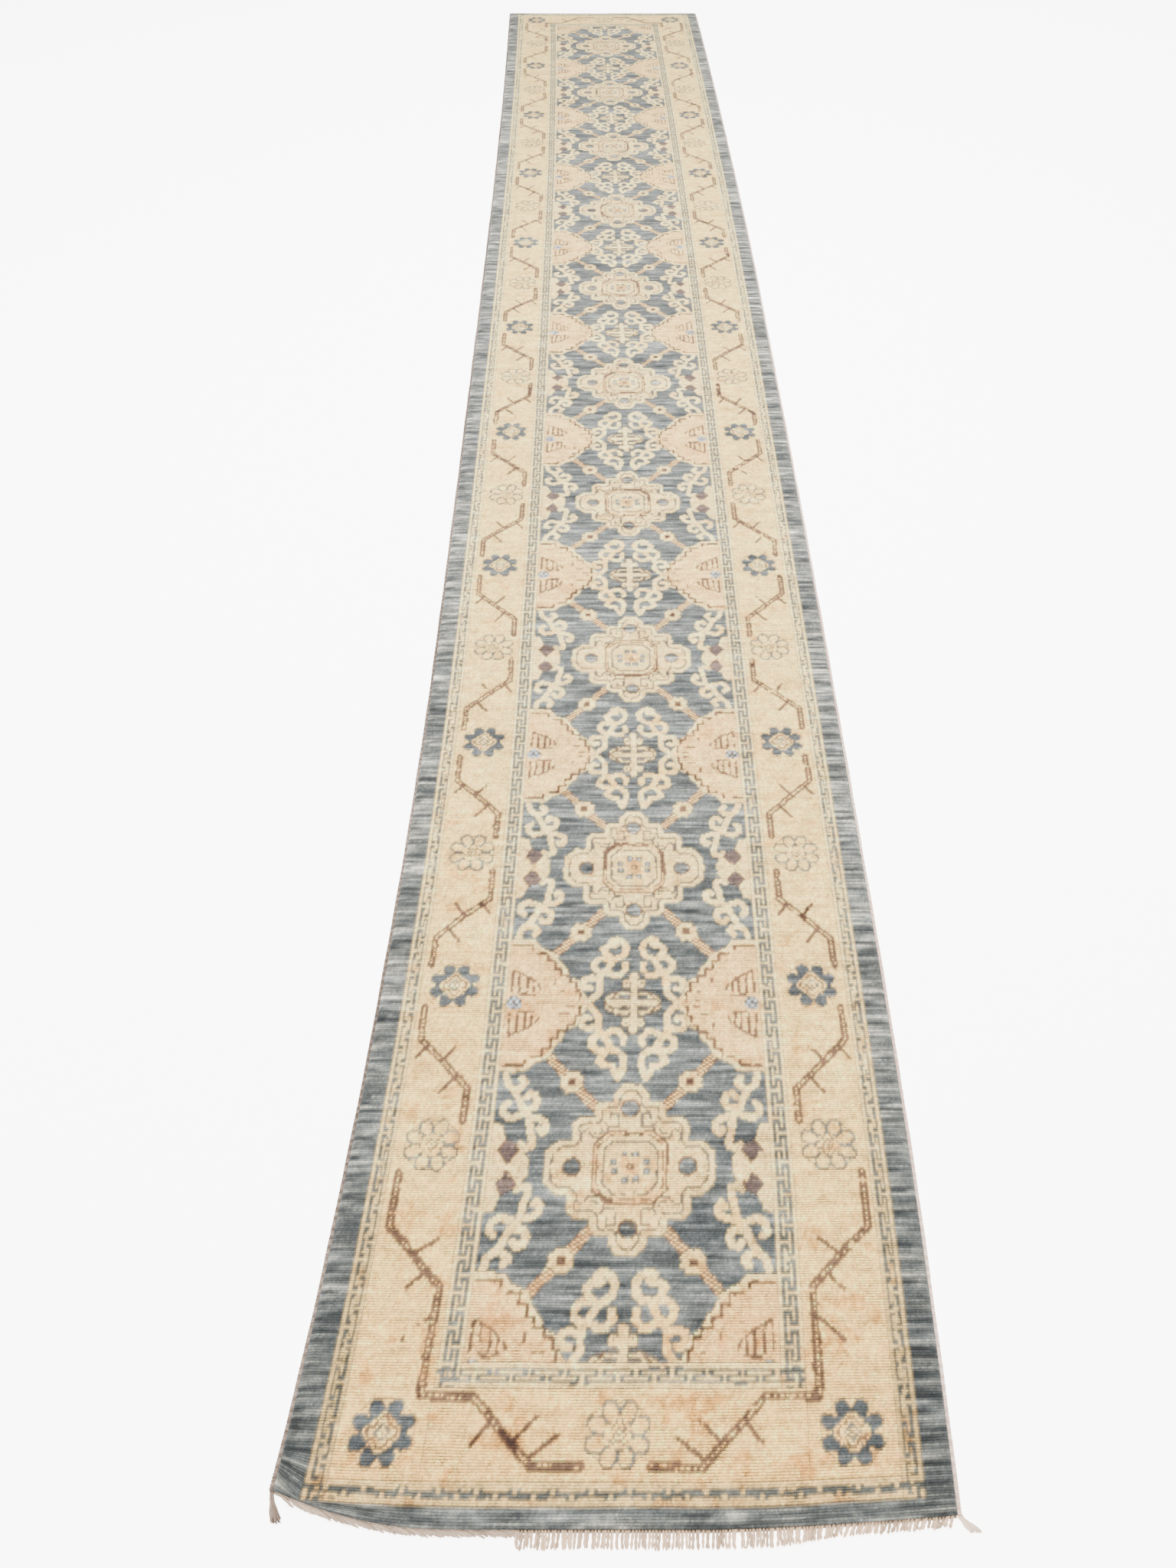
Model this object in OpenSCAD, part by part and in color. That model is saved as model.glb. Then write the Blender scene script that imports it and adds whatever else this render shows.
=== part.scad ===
// Runner rug, hand knotted: a flat-woven cotton foundation, a wool pile inlaid
// zone by zone and motif by motif, overcast selvedges over two core cords,
// a woven end web and a looped warp fringe at both ends, and a tassel at each
// corner. Millimetres. X across, Y along the rug with the front end towards
// -Y, Z up. The origin is under the middle of the rug, on the floor.
//
// Everything is laid out on the straight rug first: u runs across from the
// left selvedge's outer edge, v runs along from the front end of the pile.
// lay(u, v) then puts a point where the rug really lies, with its slow bow.

/* [Rug] */
// Width across the pile and both selvedges
rug_w = 800; // [660:1:960]
// Length of the pile from end to end
rug_l = 5611; // [4600:1:6800]
// Number of medallions down the field
medallion_count = 10; // [9:1:12]

/* [Thickness] */
// Thickness of the woven foundation
foundation_t = 2.5; // [2:0.1:4]
// Height of the pile above the foundation
pile_h = 7.5; // [5:0.5:12]

/* [Side zones] */
// Width of each outer blue band
outer_band_w = 35; // [28:1:44]
// Width of each outer fret, with its guard lines
outer_fret_w = 25; // [20:1:30]
// Width of each main border
main_border_w = 106; // [94:1:128]
// Width of each inner fret, with its guard lines
inner_fret_w = 30; // [24:1:36]

/* [End zones] */
// Width of the blue band at each end
end_band_w = 22; // [20:1:30]
// Width of the main border at each end
end_border_w = 102; // [94:1:124]

/* [Field motifs] */
// Height of a medallion, along the rug
medallion_h = 252; // [205:1:302]
// Height of a spandrel, along the rug
spandrel_h = 236; // [196:1:284]
// Width of a cross
cross_w = 88; // [72:1:106]
// Height of a cross, along the rug
cross_h = 110; // [90:1:132]
// Depth of a side bud
bud_depth = 55; // [45:1:66]
// Height of a side bud, along the rug
bud_h = 135; // [110:1:162]
// Diameter of the flower on each arm
flower_d = 38; // [30:1:46]
// Clear field between a side bud and the medallion
bud_gap = 22; // [18:1:27]
// Clear field between a spandrel and the cross
spandrel_gap = 26; // [20:1:32]
// How far past its middle a spandrel is cut off by the field's end
end_cut = 8; // [4:1:12]

/* [Border motifs] */
// Diameter of a border rosette
rosette_d = 82; // [68:1:90]
// How far the side rosettes lag behind the medallions
rosette_lag = 32; // [20:1:40]

/* [Edges] */
// Width of an overcast selvedge
selvedge_w = 6; // [5.5:0.1:7.2]
// Thickness of an overcast selvedge
selvedge_t = 6.4; // [5.4:0.1:7.6]
// Diameter of a selvedge core cord
cord_d = 2; // [1.7:0.1:2.3]
// Width of the woven web at each end
web_w = 3; // [2.4:0.2:4]
// Length of the fringe beyond the web
fringe_l = 18; // [14:1:22]
// Width of one fringe loop
loop_w = 3; // [2.4:0.1:3.6]
// Distance from one fringe loop to the next
loop_pitch = 5; // [4.2:0.1:6]
// Thickness of the fringe
fringe_t = 2.4; // [2:0.1:3]
// Reach of the front left tassel, along the rug
tassel_l = 34; // [28:1:42]
// Reach of the other three tassels, along the rug
short_tassel_l = 19; // [16:1:24]
// Half width of a tassel where it spreads
tassel_spread = 7; // [5:0.5:9]

/* [Lie] */
// How far the front end swings to the left
front_swing = 68; // [0:1:82]
// How far the back end drifts to the left
back_drift = 31; // [0:1:38]
// Extra width at the front end
front_flare = 18; // [0:1:22]
// Width lost at the waist behind the front end
waist = 10; // [0:1:12]
// Extra width over the back half
back_flare = 8; // [0:1:10]
// How far the front left corner is drawn back
lift_left = 12; // [0:1:14]
// How far the front right corner is drawn back
lift_right = 15; // [0:1:18]
// Blue pile left in front of the fret where the front left corner is cut back
corner_pile = 1.2; // [0.8:0.1:20]

/* [Hidden] */

blue = [0.40, 0.45, 0.50];
field_blue = [0.47, 0.52, 0.55];
fret_grey = [0.62, 0.63, 0.58];
cream = [0.90, 0.82, 0.68];
ivory = [0.88, 0.84, 0.68];
pink_beige = [0.87, 0.78, 0.67];
cotton = [0.84, 0.79, 0.72];
tan = [0.72, 0.64, 0.58];

// Zone edges across the rug, counted in from a selvedge's outer edge.
band_u = selvedge_w;
fret_u = band_u + outer_band_w;
border_u = fret_u + outer_fret_w;
guard_u = border_u + main_border_w;
field_u = guard_u + inner_fret_w;
// Zone edges along the rug, counted in from an end of the pile.
fret_v = end_band_w;
border_v = fret_v + outer_fret_w;
guard_v = border_v + end_border_w;
field_v = guard_v + inner_fret_w;

field_w = rug_w - 2 * field_u;
medallion_w = field_w - 2 * (bud_depth + bud_gap);
spandrel_depth = (field_w - cross_w) / 2 - spandrel_gap;
pitch = (rug_l - 2 * field_v + 2 * end_cut) / medallion_count;
first_medallion = field_v + pitch / 2 - end_cut;
rosette_pitch = pitch / 2;
corner_rosette_v = border_v + end_border_w / 2;
side_rosette_u = border_u + main_border_w / 2;

// How the rug lies: reaches of its curves, along or across.
swing_reach = 700;
drift_from = 3000;
flare_reach = 350;
waist_at = 1200;
waist_reach = 700;
back_flare_from = 2000;
back_flare_full = 3500;
lift_left_reach = 250;
lift_right_reach = 300;
lift_fade = 100;
lift_right_power = 1.5;
cut_reach = 200;

function over(x) = max(0, x);
function smooth(t) = let (c = min(1, over(t))) c * c * (3 - 2 * c);

// Middle line of the rug, s along it: an exponential swing at the front end
// and a parabolic drift towards the back end.
function middle(s) =
    -front_swing * exp(-s / swing_reach)
    - back_drift * pow(over((s - drift_from) / (rug_l - drift_from)), 2);
function width(s) =
    rug_w + front_flare * exp(-s / flare_reach)
    - waist * exp(-pow((s - waist_at) / waist_reach, 2))
    + back_flare * smooth((s - back_flare_from) / (back_flare_full - back_flare_from));
function lift(u) =
    lift_left * pow(over(1 - u / lift_left_reach), 2)
    + lift_right * pow(over(1 - (rug_w - u) / lift_right_reach), lift_right_power);
// Where the pile ends at the front, across the rug.
function cut(u) =
    (end_band_w - corner_pile) * pow(over(cut_reach - u) / (cut_reach - fret_u), 2);

function along(u, v) = v + lift(u) * exp(-v / lift_fade);
function free_x(u, v) =
    let (s = along(u, v)) middle(s) + (u / rug_w - 0.5) * width(s);

// Stations along the rug and across it: every zone edge, and even steps between.
function steps(a, b, step) =
    let (n = max(1, ceil((b - a) / step))) [for (i = [0 : n]) a + (b - a) * i / n];
function join(lists) = [for (l = lists) each l];
function tail(l) = [for (i = [1 : len(l) - 1]) l[i]];
function reversed(l) = [for (i = [len(l) - 1 : -1 : 0]) l[i]];
long_step = 120;
cross_step = 40;
v_stations = join([
    [0, fret_v, border_v, guard_v],
    steps(field_v, rug_l - field_v, long_step),
    [rug_l - guard_v, rug_l - border_v, rug_l - fret_v, rug_l]
]);
u_stations = join([
    [0, band_u, fret_u, border_u, guard_u],
    steps(field_u, rug_w - field_u, cross_step),
    [rug_w - guard_u, rug_w - border_u, rug_w - fret_u, rug_w - band_u, rug_w]
]);
function between(list, a, b) = join([[a], [for (x = list) if (x > a && x < b) x], [b]]);

// The side edges as they lie, to put the origin under the middle.
left_xs = [for (v = between(v_stations, cut(band_u), rug_l)) free_x(band_u, v) - selvedge_w];
right_xs = [for (v = v_stations) free_x(rug_w - band_u, v) + selvedge_w];
middle_x = (min(left_xs) + max(right_xs)) / 2;
// The two ends as they lie: the fringe's tips, or a tassel's.
fringe_out = web_w + fringe_l;
front_ys = join([
    [for (u = u_stations) along(u, cut(u) - fringe_out)],
    [along(band_u, cut(band_u)) - tassel_l, along(rug_w - band_u, 0) - short_tassel_l]
]);
middle_y = (min(front_ys) + rug_l + max(fringe_out, short_tassel_l)) / 2;

function lay(u, v) = [free_x(u, v) - middle_x, along(u, v) - middle_y];

// A zone between u0 and u1 and from v0 to v1; its front edge follows the cut
// where the zone is at the front end, and each edge has every station on it.
function zone(u0, u1, v0, v1, at_front = false) =
    let (us = between(u_stations, u0, u1))
    join([
        [for (u = us) lay(u, at_front ? cut(u) : v0)],
        [for (v = between(v_stations, at_front ? cut(u1) : v0, v1)) if (v > v0 && v < v1) lay(u1, v)],
        [for (u = reversed(us)) lay(u, v1)],
        [for (v = reversed(between(v_stations, at_front ? cut(u0) : v0, v1)))
            if (v > (at_front ? cut(u0) : v0) && v < v1) lay(u0, v)]
    ]);

module pile() {
    translate([0, 0, foundation_t]) linear_extrude(pile_h) children();
}

// A motif outline given as [across, along] from its own middle.
module motif(u, v, points) {
    polygon([for (p = points) lay(u + p.x, v + p.y)]);
}

// Four quadrants of an outline from one, which starts on the long axis and
// ends on the cross axis.
function four_ways(q) = join([
    q,
    [for (p = tail(reversed(q))) [p.x, -p.y]],
    [for (p = tail(q)) [-p.x, -p.y]],
    [for (p = tail(reversed(q))) if (p.x > 0) [-p.x, p.y]]
]);

// A medallion's quadrant: a stepped quatrefoil with chamfered lobes, in shares
// of its half width and half height.
medallion_quadrant = [
    [0, 1], [0.10, 1], [0.21, 0.87], [0.21, 0.78], [0.36, 0.78], [0.42, 0.71],
    [0.42, 0.59], [0.61, 0.59], [0.69, 0.51], [0.69, 0.32], [0.84, 0.32],
    [0.98, 0.19], [1, 0]
];
medallion_corner = [0.42, 0.71];
// A spandrel's half outline, in shares of its depth and half height.
spandrel_half = [
    [0, 1], [0.30, 1], [0.39, 0.88], [0.58, 0.78], [0.63, 0.64], [0.72, 0.53],
    [0.77, 0.41], [0.89, 0.34], [0.93, 0.17], [1, 0.07]
];
spandrel_corner = [0.58, 0.78];
// A side bud's half outline, in shares of its depth and half height.
bud_half = [
    [0, 1], [0.24, 0.92], [0.36, 0.62], [0.80, 0.44], [1, 0.16]
];
// A cross's quadrant, in shares of its half width and half height.
cross_quadrant = [
    [0, 1], [0.30, 1], [0.42, 0.86], [0.42, 0.42], [0.88, 0.38], [1, 0.24], [1, 0]
];
function sized(points, a, b) = [for (p = points) [p.x * a, p.y * b]];
function both_sides(half) = join([half, [for (p = reversed(half)) [p.x, -p.y]]]);
function mirrored(points) = [for (p = reversed(points)) [-p.x, p.y]];

medallion_outline = four_ways(sized(medallion_quadrant, medallion_w / 2, medallion_h / 2));
cross_outline = four_ways(sized(cross_quadrant, cross_w / 2, cross_h / 2));
// A half outline is closed past the field's edge, where the field clips it.
edge_spare = 5;
function to_edge(points) = [for (p = points) [p.x == 0 ? -edge_spare : p.x, p.y]];
spandrel_outline = to_edge(both_sides(sized(spandrel_half, spandrel_depth, spandrel_h / 2)));
bud_outline = to_edge(both_sides(sized(bud_half, bud_depth, bud_h / 2)));
// A round outline with eight lobes, in pairs on the axes; dip is how far it
// falls in between two lobes, as a share of its half diameter.
lobes = 8;
rosette_dip = 0.05;
rosette_points = 32;
flower_dip = 0.08;
flower_points = 16;
function petals(d, dip, n) = [
    for (i = [0 : n - 1])
        let (a = 360 * i / n, r = d / 2 * (1 - dip * (1 + cos(lobes * a)))) [r * cos(a), r * sin(a)]
];
rosette_outline = petals(rosette_d, rosette_dip, rosette_points);
flower_outline = petals(flower_d, flower_dip, flower_points);

middle_u = rug_w / 2;
// The arm from a medallion's corner to a spandrel's corner, and its flower.
arm_from = [medallion_corner.x * medallion_w / 2, medallion_corner.y * medallion_h / 2];
arm_to = [
    field_w / 2 - spandrel_corner.x * spandrel_depth,
    pitch / 2 - spandrel_corner.y * spandrel_h / 2
];
flower_at = (arm_from + arm_to) / 2;

module field_outline() {
    polygon(zone(field_u, rug_w - field_u, field_v, rug_l - field_v));
}
module all_medallions() {
    for (k = [0 : medallion_count - 1])
        motif(middle_u, first_medallion + k * pitch, medallion_outline);
}
module all_spandrels() {
    for (k = [0 : medallion_count]) {
        v = first_medallion + (k - 0.5) * pitch;
        motif(field_u, v, spandrel_outline);
        motif(rug_w - field_u, v, mirrored(spandrel_outline));
    }
}
module all_crosses() {
    for (k = [0 : medallion_count])
        motif(middle_u, first_medallion + (k - 0.5) * pitch, cross_outline);
}
module all_buds() {
    for (k = [0 : medallion_count - 1]) {
        v = first_medallion + k * pitch;
        motif(field_u, v, bud_outline);
        motif(rug_w - field_u, v, mirrored(bud_outline));
    }
}
module all_flowers() {
    for (k = [0 : medallion_count - 1], side = [-1, 1], end = [-1, 1])
        motif(
            middle_u + side * flower_at.x,
            first_medallion + k * pitch + end * flower_at.y,
            flower_outline
        );
}
// Side rosettes: pale by the medallions, blue between them. Each side run
// also has a blue rosette at both of its corners.
side_rosette_count = 2 * medallion_count - 1;
function rosette_v(i) = first_medallion + rosette_lag + i * rosette_pitch;
module side_rosettes(u, pale) {
    for (i = [pale ? 0 : 1 : 2 : side_rosette_count - 1])
        motif(u, rosette_v(i), rosette_outline);
}
module corner_rosettes(u) {
    motif(u, corner_rosette_v, rosette_outline);
    motif(u, rug_l - corner_rosette_v, rosette_outline);
}
module end_rosette(v) {
    motif(middle_u, v, rosette_outline);
}

module foundation() {
    color(cotton)
        linear_extrude(foundation_t)
            polygon(zone(band_u, rug_w - band_u, 0, rug_l, true));
}
module outer_band_left() {
    color(blue) pile() polygon(zone(band_u, fret_u, 0, rug_l, true));
}
module outer_band_right() {
    color(blue) pile() polygon(zone(rug_w - fret_u, rug_w - band_u, 0, rug_l, true));
}
module outer_band_front() {
    color(blue) pile() polygon(zone(fret_u, rug_w - fret_u, 0, fret_v, true));
}
module outer_band_back() {
    color(blue) pile() polygon(zone(fret_u, rug_w - fret_u, rug_l - fret_v, rug_l));
}
module outer_fret_left() {
    color(fret_grey) pile() polygon(zone(fret_u, border_u, fret_v, rug_l - fret_v));
}
module outer_fret_right() {
    color(fret_grey)
        pile()
            polygon(zone(rug_w - border_u, rug_w - fret_u, fret_v, rug_l - fret_v));
}
module outer_fret_front() {
    color(fret_grey) pile() polygon(zone(border_u, rug_w - border_u, fret_v, border_v));
}
module outer_fret_back() {
    color(fret_grey)
        pile()
            polygon(zone(border_u, rug_w - border_u, rug_l - border_v, rug_l - fret_v));
}
module side_border(u0, u1, rosette_u) {
    color(cream)
        pile()
            difference() {
                polygon(zone(u0, u1, border_v, rug_l - border_v));
                side_rosettes(rosette_u, true);
                side_rosettes(rosette_u, false);
                corner_rosettes(rosette_u);
            }
}
module main_border_left() {
    side_border(border_u, guard_u, side_rosette_u);
}
module main_border_right() {
    side_border(rug_w - guard_u, rug_w - border_u, rug_w - side_rosette_u);
}
module end_border(v0, v1, rosette_at) {
    color(cream)
        pile()
            difference() {
                polygon(zone(guard_u, rug_w - guard_u, v0, v1));
                end_rosette(rosette_at);
            }
}
module main_border_front() {
    end_border(border_v, guard_v, corner_rosette_v);
}
module main_border_back() {
    end_border(rug_l - guard_v, rug_l - border_v, rug_l - corner_rosette_v);
}
module inner_fret_left() {
    color(fret_grey) pile() polygon(zone(guard_u, field_u, guard_v, rug_l - guard_v));
}
module inner_fret_right() {
    color(fret_grey)
        pile()
            polygon(zone(rug_w - field_u, rug_w - guard_u, guard_v, rug_l - guard_v));
}
module inner_fret_front() {
    color(fret_grey) pile() polygon(zone(field_u, rug_w - field_u, guard_v, field_v));
}
module inner_fret_back() {
    color(fret_grey)
        pile()
            polygon(zone(field_u, rug_w - field_u, rug_l - field_v, rug_l - guard_v));
}
module field_pile() {
    color(field_blue)
        pile()
            difference() {
                field_outline();
                all_medallions();
                all_spandrels();
                all_crosses();
                all_buds();
                all_flowers();
            }
}
module medallions() {
    color(cream) pile() all_medallions();
}
module spandrels() {
    color(pink_beige)
        pile()
            intersection() {
                field_outline();
                all_spandrels();
            }
}
module crosses() {
    color(ivory)
        pile()
            intersection() {
                field_outline();
                all_crosses();
            }
}
module side_buds() {
    color(ivory)
        pile()
            intersection() {
                field_outline();
                all_buds();
            }
}
module arm_flowers() {
    color(cream) pile() all_flowers();
}
module blue_rosettes() {
    color(blue)
        pile()
            for (u = [side_rosette_u, rug_w - side_rosette_u]) {
                side_rosettes(u, false);
                corner_rosettes(u);
            }
}
module pale_rosettes() {
    color(ivory)
        pile() {
            for (u = [side_rosette_u, rug_w - side_rosette_u]) side_rosettes(u, true);
            end_rosette(corner_rosette_v);
            end_rosette(rug_l - corner_rosette_v);
        }
}

// Selvedges. A section is a loop of [outwards from the pile, up] points; every
// ring of a run stands across the rug at one station.
wrap_section = [
    for (p = [
        [0, 0], [0.40, 0], [0.72, 0.06], [0.92, 0.24], [1, 0.50], [0.92, 0.76],
        [0.72, 0.94], [0.40, 1], [0, 1], [0, 0.50]
    ])
        [p.x * selvedge_w, p.y * selvedge_t]
];
cord_gap = 0.1;
core_w = 2 * cord_d + cord_gap;
cord_wall = (selvedge_w - core_w) / 2;
core_z = selvedge_t / 2;
core_low = core_z - cord_d / 2;
core_high = core_z + cord_d / 2;
core_out = cord_wall + core_w;
bevel_share = 0.29;
core_bevel = cord_d * bevel_share;
// The core's tunnel has one point for each point of the wrap, in the same order.
tunnel_section = [
    [cord_wall + core_bevel, core_low],
    [cord_wall + cord_d, core_low],
    [core_out - core_bevel, core_low],
    [core_out, core_low + core_bevel],
    [core_out, core_z],
    [core_out, core_high - core_bevel],
    [core_out - core_bevel, core_high],
    [cord_wall + cord_d, core_high],
    [cord_wall + core_bevel, core_high],
    [cord_wall, core_z]
];
cord_sides = 8;
function cord_section(d_out) = [
    for (i = [0 : cord_sides - 1])
        let (a = 360 * (i + 0.5) / cord_sides, r = cord_d / 2 / cos(180 / cord_sides))
            [d_out + r * cos(a), core_z + r * sin(a)]
];
function side_stations(left) =
    between(v_stations, left ? cut(band_u) : 0, rug_l);
// side is -1 for the left edge and 1 for the right edge.
function ring(side, v, section) =
    let (u = side < 0 ? band_u : rug_w - band_u, p = lay(u, v))
    [for (q = section) [p.x + side * q.x, p.y, q.y]];
function quads(rings, n, flip, base) = [
    for (i = [0 : rings - 2], j = [0 : n - 1])
        let (
            a = base + i * n + j, b = base + i * n + (j + 1) % n,
            c = a + n, d = b + n
        )
            flip ? [a, c, d, b] : [a, b, d, c]
];
module solid_run(side, section) {
    vs = side_stations(side < 0);
    n = len(section);
    last = (len(vs) - 1) * n;
    flip = side > 0;
    first_cap = [for (j = [0 : n - 1]) j];
    last_cap = [for (j = [0 : n - 1]) last + j];
    polyhedron(
        points = join([for (v = vs) ring(side, v, section)]),
        faces = join([
            quads(len(vs), n, flip, 0),
            [flip ? first_cap : reversed(first_cap), flip ? reversed(last_cap) : last_cap]
        ])
    );
}
module hollow_run(side, outer, inner) {
    vs = side_stations(side < 0);
    n = len(outer);
    base = len(vs) * n;
    last = (len(vs) - 1) * n;
    flip = side > 0;
    ends = [
        for (at = [0, last], j = [0 : n - 1])
            let (k = (j + 1) % n, a = at + j, b = at + k, c = base + at + j, d = base + at + k)
                ((at == 0) != flip) ? [a, c, d, b] : [a, b, d, c]
    ];
    polyhedron(
        points = join([
            join([for (v = vs) ring(side, v, outer)]),
            join([for (v = vs) ring(side, v, inner)])
        ]),
        faces = join([
            quads(len(vs), n, flip, 0),
            quads(len(vs), n, !flip, base),
            ends
        ])
    );
}
module selvedge_wrap_left() {
    color(tan) hollow_run(-1, wrap_section, tunnel_section);
}
module selvedge_wrap_right() {
    color(tan) hollow_run(1, wrap_section, tunnel_section);
}
module core_cords(side) {
    color(cotton) {
        solid_run(side, cord_section(cord_wall + cord_d / 2));
        solid_run(side, cord_section(core_out - cord_d / 2));
    }
}
module selvedge_cords_left() {
    core_cords(-1);
}
module selvedge_cords_right() {
    core_cords(1);
}

// Ends. off is how far beyond the end of the pile a point is.
web_rise = 0.5;
web_t = foundation_t + web_rise;
function front_at(u, off) = lay(u, cut(u) - off);
function back_at(u, off) = lay(u, rug_l + off);
web_us = between(u_stations, band_u, rug_w - band_u);
module end_web_front() {
    color(cotton)
        linear_extrude(web_t)
            polygon(join([
                [for (u = web_us) front_at(u, 0)],
                [for (u = reversed(web_us)) front_at(u, web_w)]
            ]));
}
module end_web_back() {
    color(cotton)
        linear_extrude(web_t)
            polygon(join([
                [for (u = web_us) back_at(u, 0)],
                [for (u = reversed(web_us)) back_at(u, web_w)]
            ]));
}
// The fringe keeps clear of the corner tassels. Its loops stand on a spine.
tassel_room = 28;
spine_w = 2;
loop_count = floor((rug_w - 2 * tassel_room) / loop_pitch);
loop_from = (rug_w - (loop_count - 1) * loop_pitch - loop_w) / 2;
fringe_us = between(u_stations, loop_from, rug_w - loop_from);
function comb(tip) = [
    for (i = [0 : loop_count - 1])
        let (u = loop_from + i * loop_pitch)
            each [
                [u, web_w + spine_w], [u, web_w + tip - loop_w / 3], [u + loop_w / 3, web_w + tip],
                [u + loop_w * 2 / 3, web_w + tip], [u + loop_w, web_w + tip - loop_w / 3],
                [u + loop_w, web_w + spine_w]
            ]
];
module fringe_front() {
    color(cotton)
        linear_extrude(fringe_t)
            polygon(join([
                [for (u = reversed(fringe_us)) front_at(u, web_w)],
                [for (p = comb(fringe_l)) front_at(p.x, p.y)]
            ]));
}
module fringe_back() {
    color(cotton)
        linear_extrude(fringe_t)
            polygon(join([
                [for (u = reversed(fringe_us)) back_at(u, web_w)],
                [for (p = comb(fringe_l)) back_at(p.x, p.y)]
            ]));
}

// A tassel is the loose end of a selvedge's cords and wrapping: a neck on the
// selvedge's own end, then a skirt that spreads and lies flat. Rings are [share
// of its reach, half width, half height].
neck_share = 0.45;
neck_r = [neck_share * selvedge_w, neck_share * selvedge_t];
tassel_rings = [
    [0, neck_r.x, neck_r.y],
    [0.15, neck_r.x * 0.95, neck_r.y],
    [0.40, (neck_r.x + tassel_spread) / 2, neck_r.y],
    [0.70, tassel_spread * 0.85, neck_r.y * 0.9],
    [0.95, tassel_spread, neck_r.y * 0.6],
    [1, tassel_spread * 0.9, neck_r.y * 0.3]
];
tassel_sides = 12;
// How far outwards a tassel's tip lies, and the power of the curve it follows.
tip_front_left = 12;
tip_front_right = 14;
tip_back = 5;
drift_power = 1.5;
// corner is the middle of the selvedge's end, end is -1 at the front and 1 at
// the back, and drift is how far across the rug the tassel's tip lies.
module tassel(corner, end, reach, drift) {
    n = tassel_sides;
    rings = [
        for (r = tassel_rings)
            [
                for (j = [0 : n - 1])
                    let (a = 360 * j / n)
                        [
                            corner.x + drift * pow(r[0], drift_power) + r[1] * cos(a),
                            corner.y + end * r[0] * reach,
                            r[2] * (1 + sin(a))
                        ]
            ]
    ];
    last = (len(rings) - 1) * n;
    first_cap = [for (j = [0 : n - 1]) j];
    last_cap = [for (j = [0 : n - 1]) last + j];
    flip = end < 0;
    polyhedron(
        points = join(rings),
        faces = join([
            quads(len(rings), n, !flip, 0),
            [flip ? reversed(first_cap) : first_cap, flip ? last_cap : reversed(last_cap)]
        ])
    );
}
function selvedge_end(side, v) =
    let (p = lay(side < 0 ? band_u : rug_w - band_u, v)) [p.x + side * selvedge_w / 2, p.y];
module tassel_front_left() {
    color(tan) tassel(selvedge_end(-1, cut(band_u)), -1, tassel_l, tip_front_left);
}
module tassel_front_right() {
    color(cotton) tassel(selvedge_end(1, 0), -1, short_tassel_l, tip_front_right);
}
module tassel_back_left() {
    color(tan) tassel(selvedge_end(-1, rug_l), 1, short_tassel_l, tip_back);
}
module tassel_back_right() {
    color(cotton) tassel(selvedge_end(1, rug_l), 1, short_tassel_l, -tip_back);
}

foundation();
outer_band_left();
outer_band_right();
outer_band_front();
outer_band_back();
outer_fret_left();
outer_fret_right();
outer_fret_front();
outer_fret_back();
main_border_left();
main_border_right();
main_border_front();
main_border_back();
inner_fret_left();
inner_fret_right();
inner_fret_front();
inner_fret_back();
field_pile();
medallions();
spandrels();
crosses();
side_buds();
arm_flowers();
blue_rosettes();
pale_rosettes();
selvedge_wrap_left();
selvedge_wrap_right();
selvedge_cords_left();
selvedge_cords_right();
end_web_front();
end_web_back();
fringe_front();
fringe_back();
tassel_front_left();
tassel_front_right();
tassel_back_left();
tassel_back_right();
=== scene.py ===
# %% [markdown]
# # A hand-knotted runner rug
# A runner is a cotton foundation with wool knots tied on it, row by row. This lesson builds one
# knot by knot: every little square of the pile is one knot with the colour of its yarn. All sizes
# are worked out on the straight rug in millimetres, u across and v along, as a weaver counts them,
# and one function then lays them down in the slow bow that the rug really lies in.

import bmesh
import bpy
import numpy as np
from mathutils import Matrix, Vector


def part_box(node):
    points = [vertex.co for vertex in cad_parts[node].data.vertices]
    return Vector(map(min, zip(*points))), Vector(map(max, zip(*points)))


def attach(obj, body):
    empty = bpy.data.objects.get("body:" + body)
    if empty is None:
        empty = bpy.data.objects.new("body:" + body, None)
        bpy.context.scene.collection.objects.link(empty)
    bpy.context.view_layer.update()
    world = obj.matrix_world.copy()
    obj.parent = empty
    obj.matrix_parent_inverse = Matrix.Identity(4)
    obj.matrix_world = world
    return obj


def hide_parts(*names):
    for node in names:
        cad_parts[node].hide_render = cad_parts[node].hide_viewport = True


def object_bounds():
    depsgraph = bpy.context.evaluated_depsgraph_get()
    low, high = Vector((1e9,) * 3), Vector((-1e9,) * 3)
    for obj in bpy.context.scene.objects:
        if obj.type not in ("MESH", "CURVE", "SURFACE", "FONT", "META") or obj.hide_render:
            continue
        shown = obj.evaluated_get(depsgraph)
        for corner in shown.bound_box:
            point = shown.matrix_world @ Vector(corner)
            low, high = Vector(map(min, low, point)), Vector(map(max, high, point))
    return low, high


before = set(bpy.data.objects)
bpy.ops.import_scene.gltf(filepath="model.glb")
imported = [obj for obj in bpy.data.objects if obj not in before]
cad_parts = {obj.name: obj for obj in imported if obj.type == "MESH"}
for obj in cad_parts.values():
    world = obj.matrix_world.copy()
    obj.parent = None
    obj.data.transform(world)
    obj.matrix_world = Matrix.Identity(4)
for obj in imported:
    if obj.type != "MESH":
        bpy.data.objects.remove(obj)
cad_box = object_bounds()
MM = 0.001
print("CAD box", [round(x, 4) for corner in cad_box for x in corner])

# %% [markdown]
# ## The camera
# It stands where a person would, just in front of the rug's front end, and looks steeply down, so
# that the rug runs away from it to a narrow far end. It hangs from the frame's own box, so it
# follows the rug if the rug changes.

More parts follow.
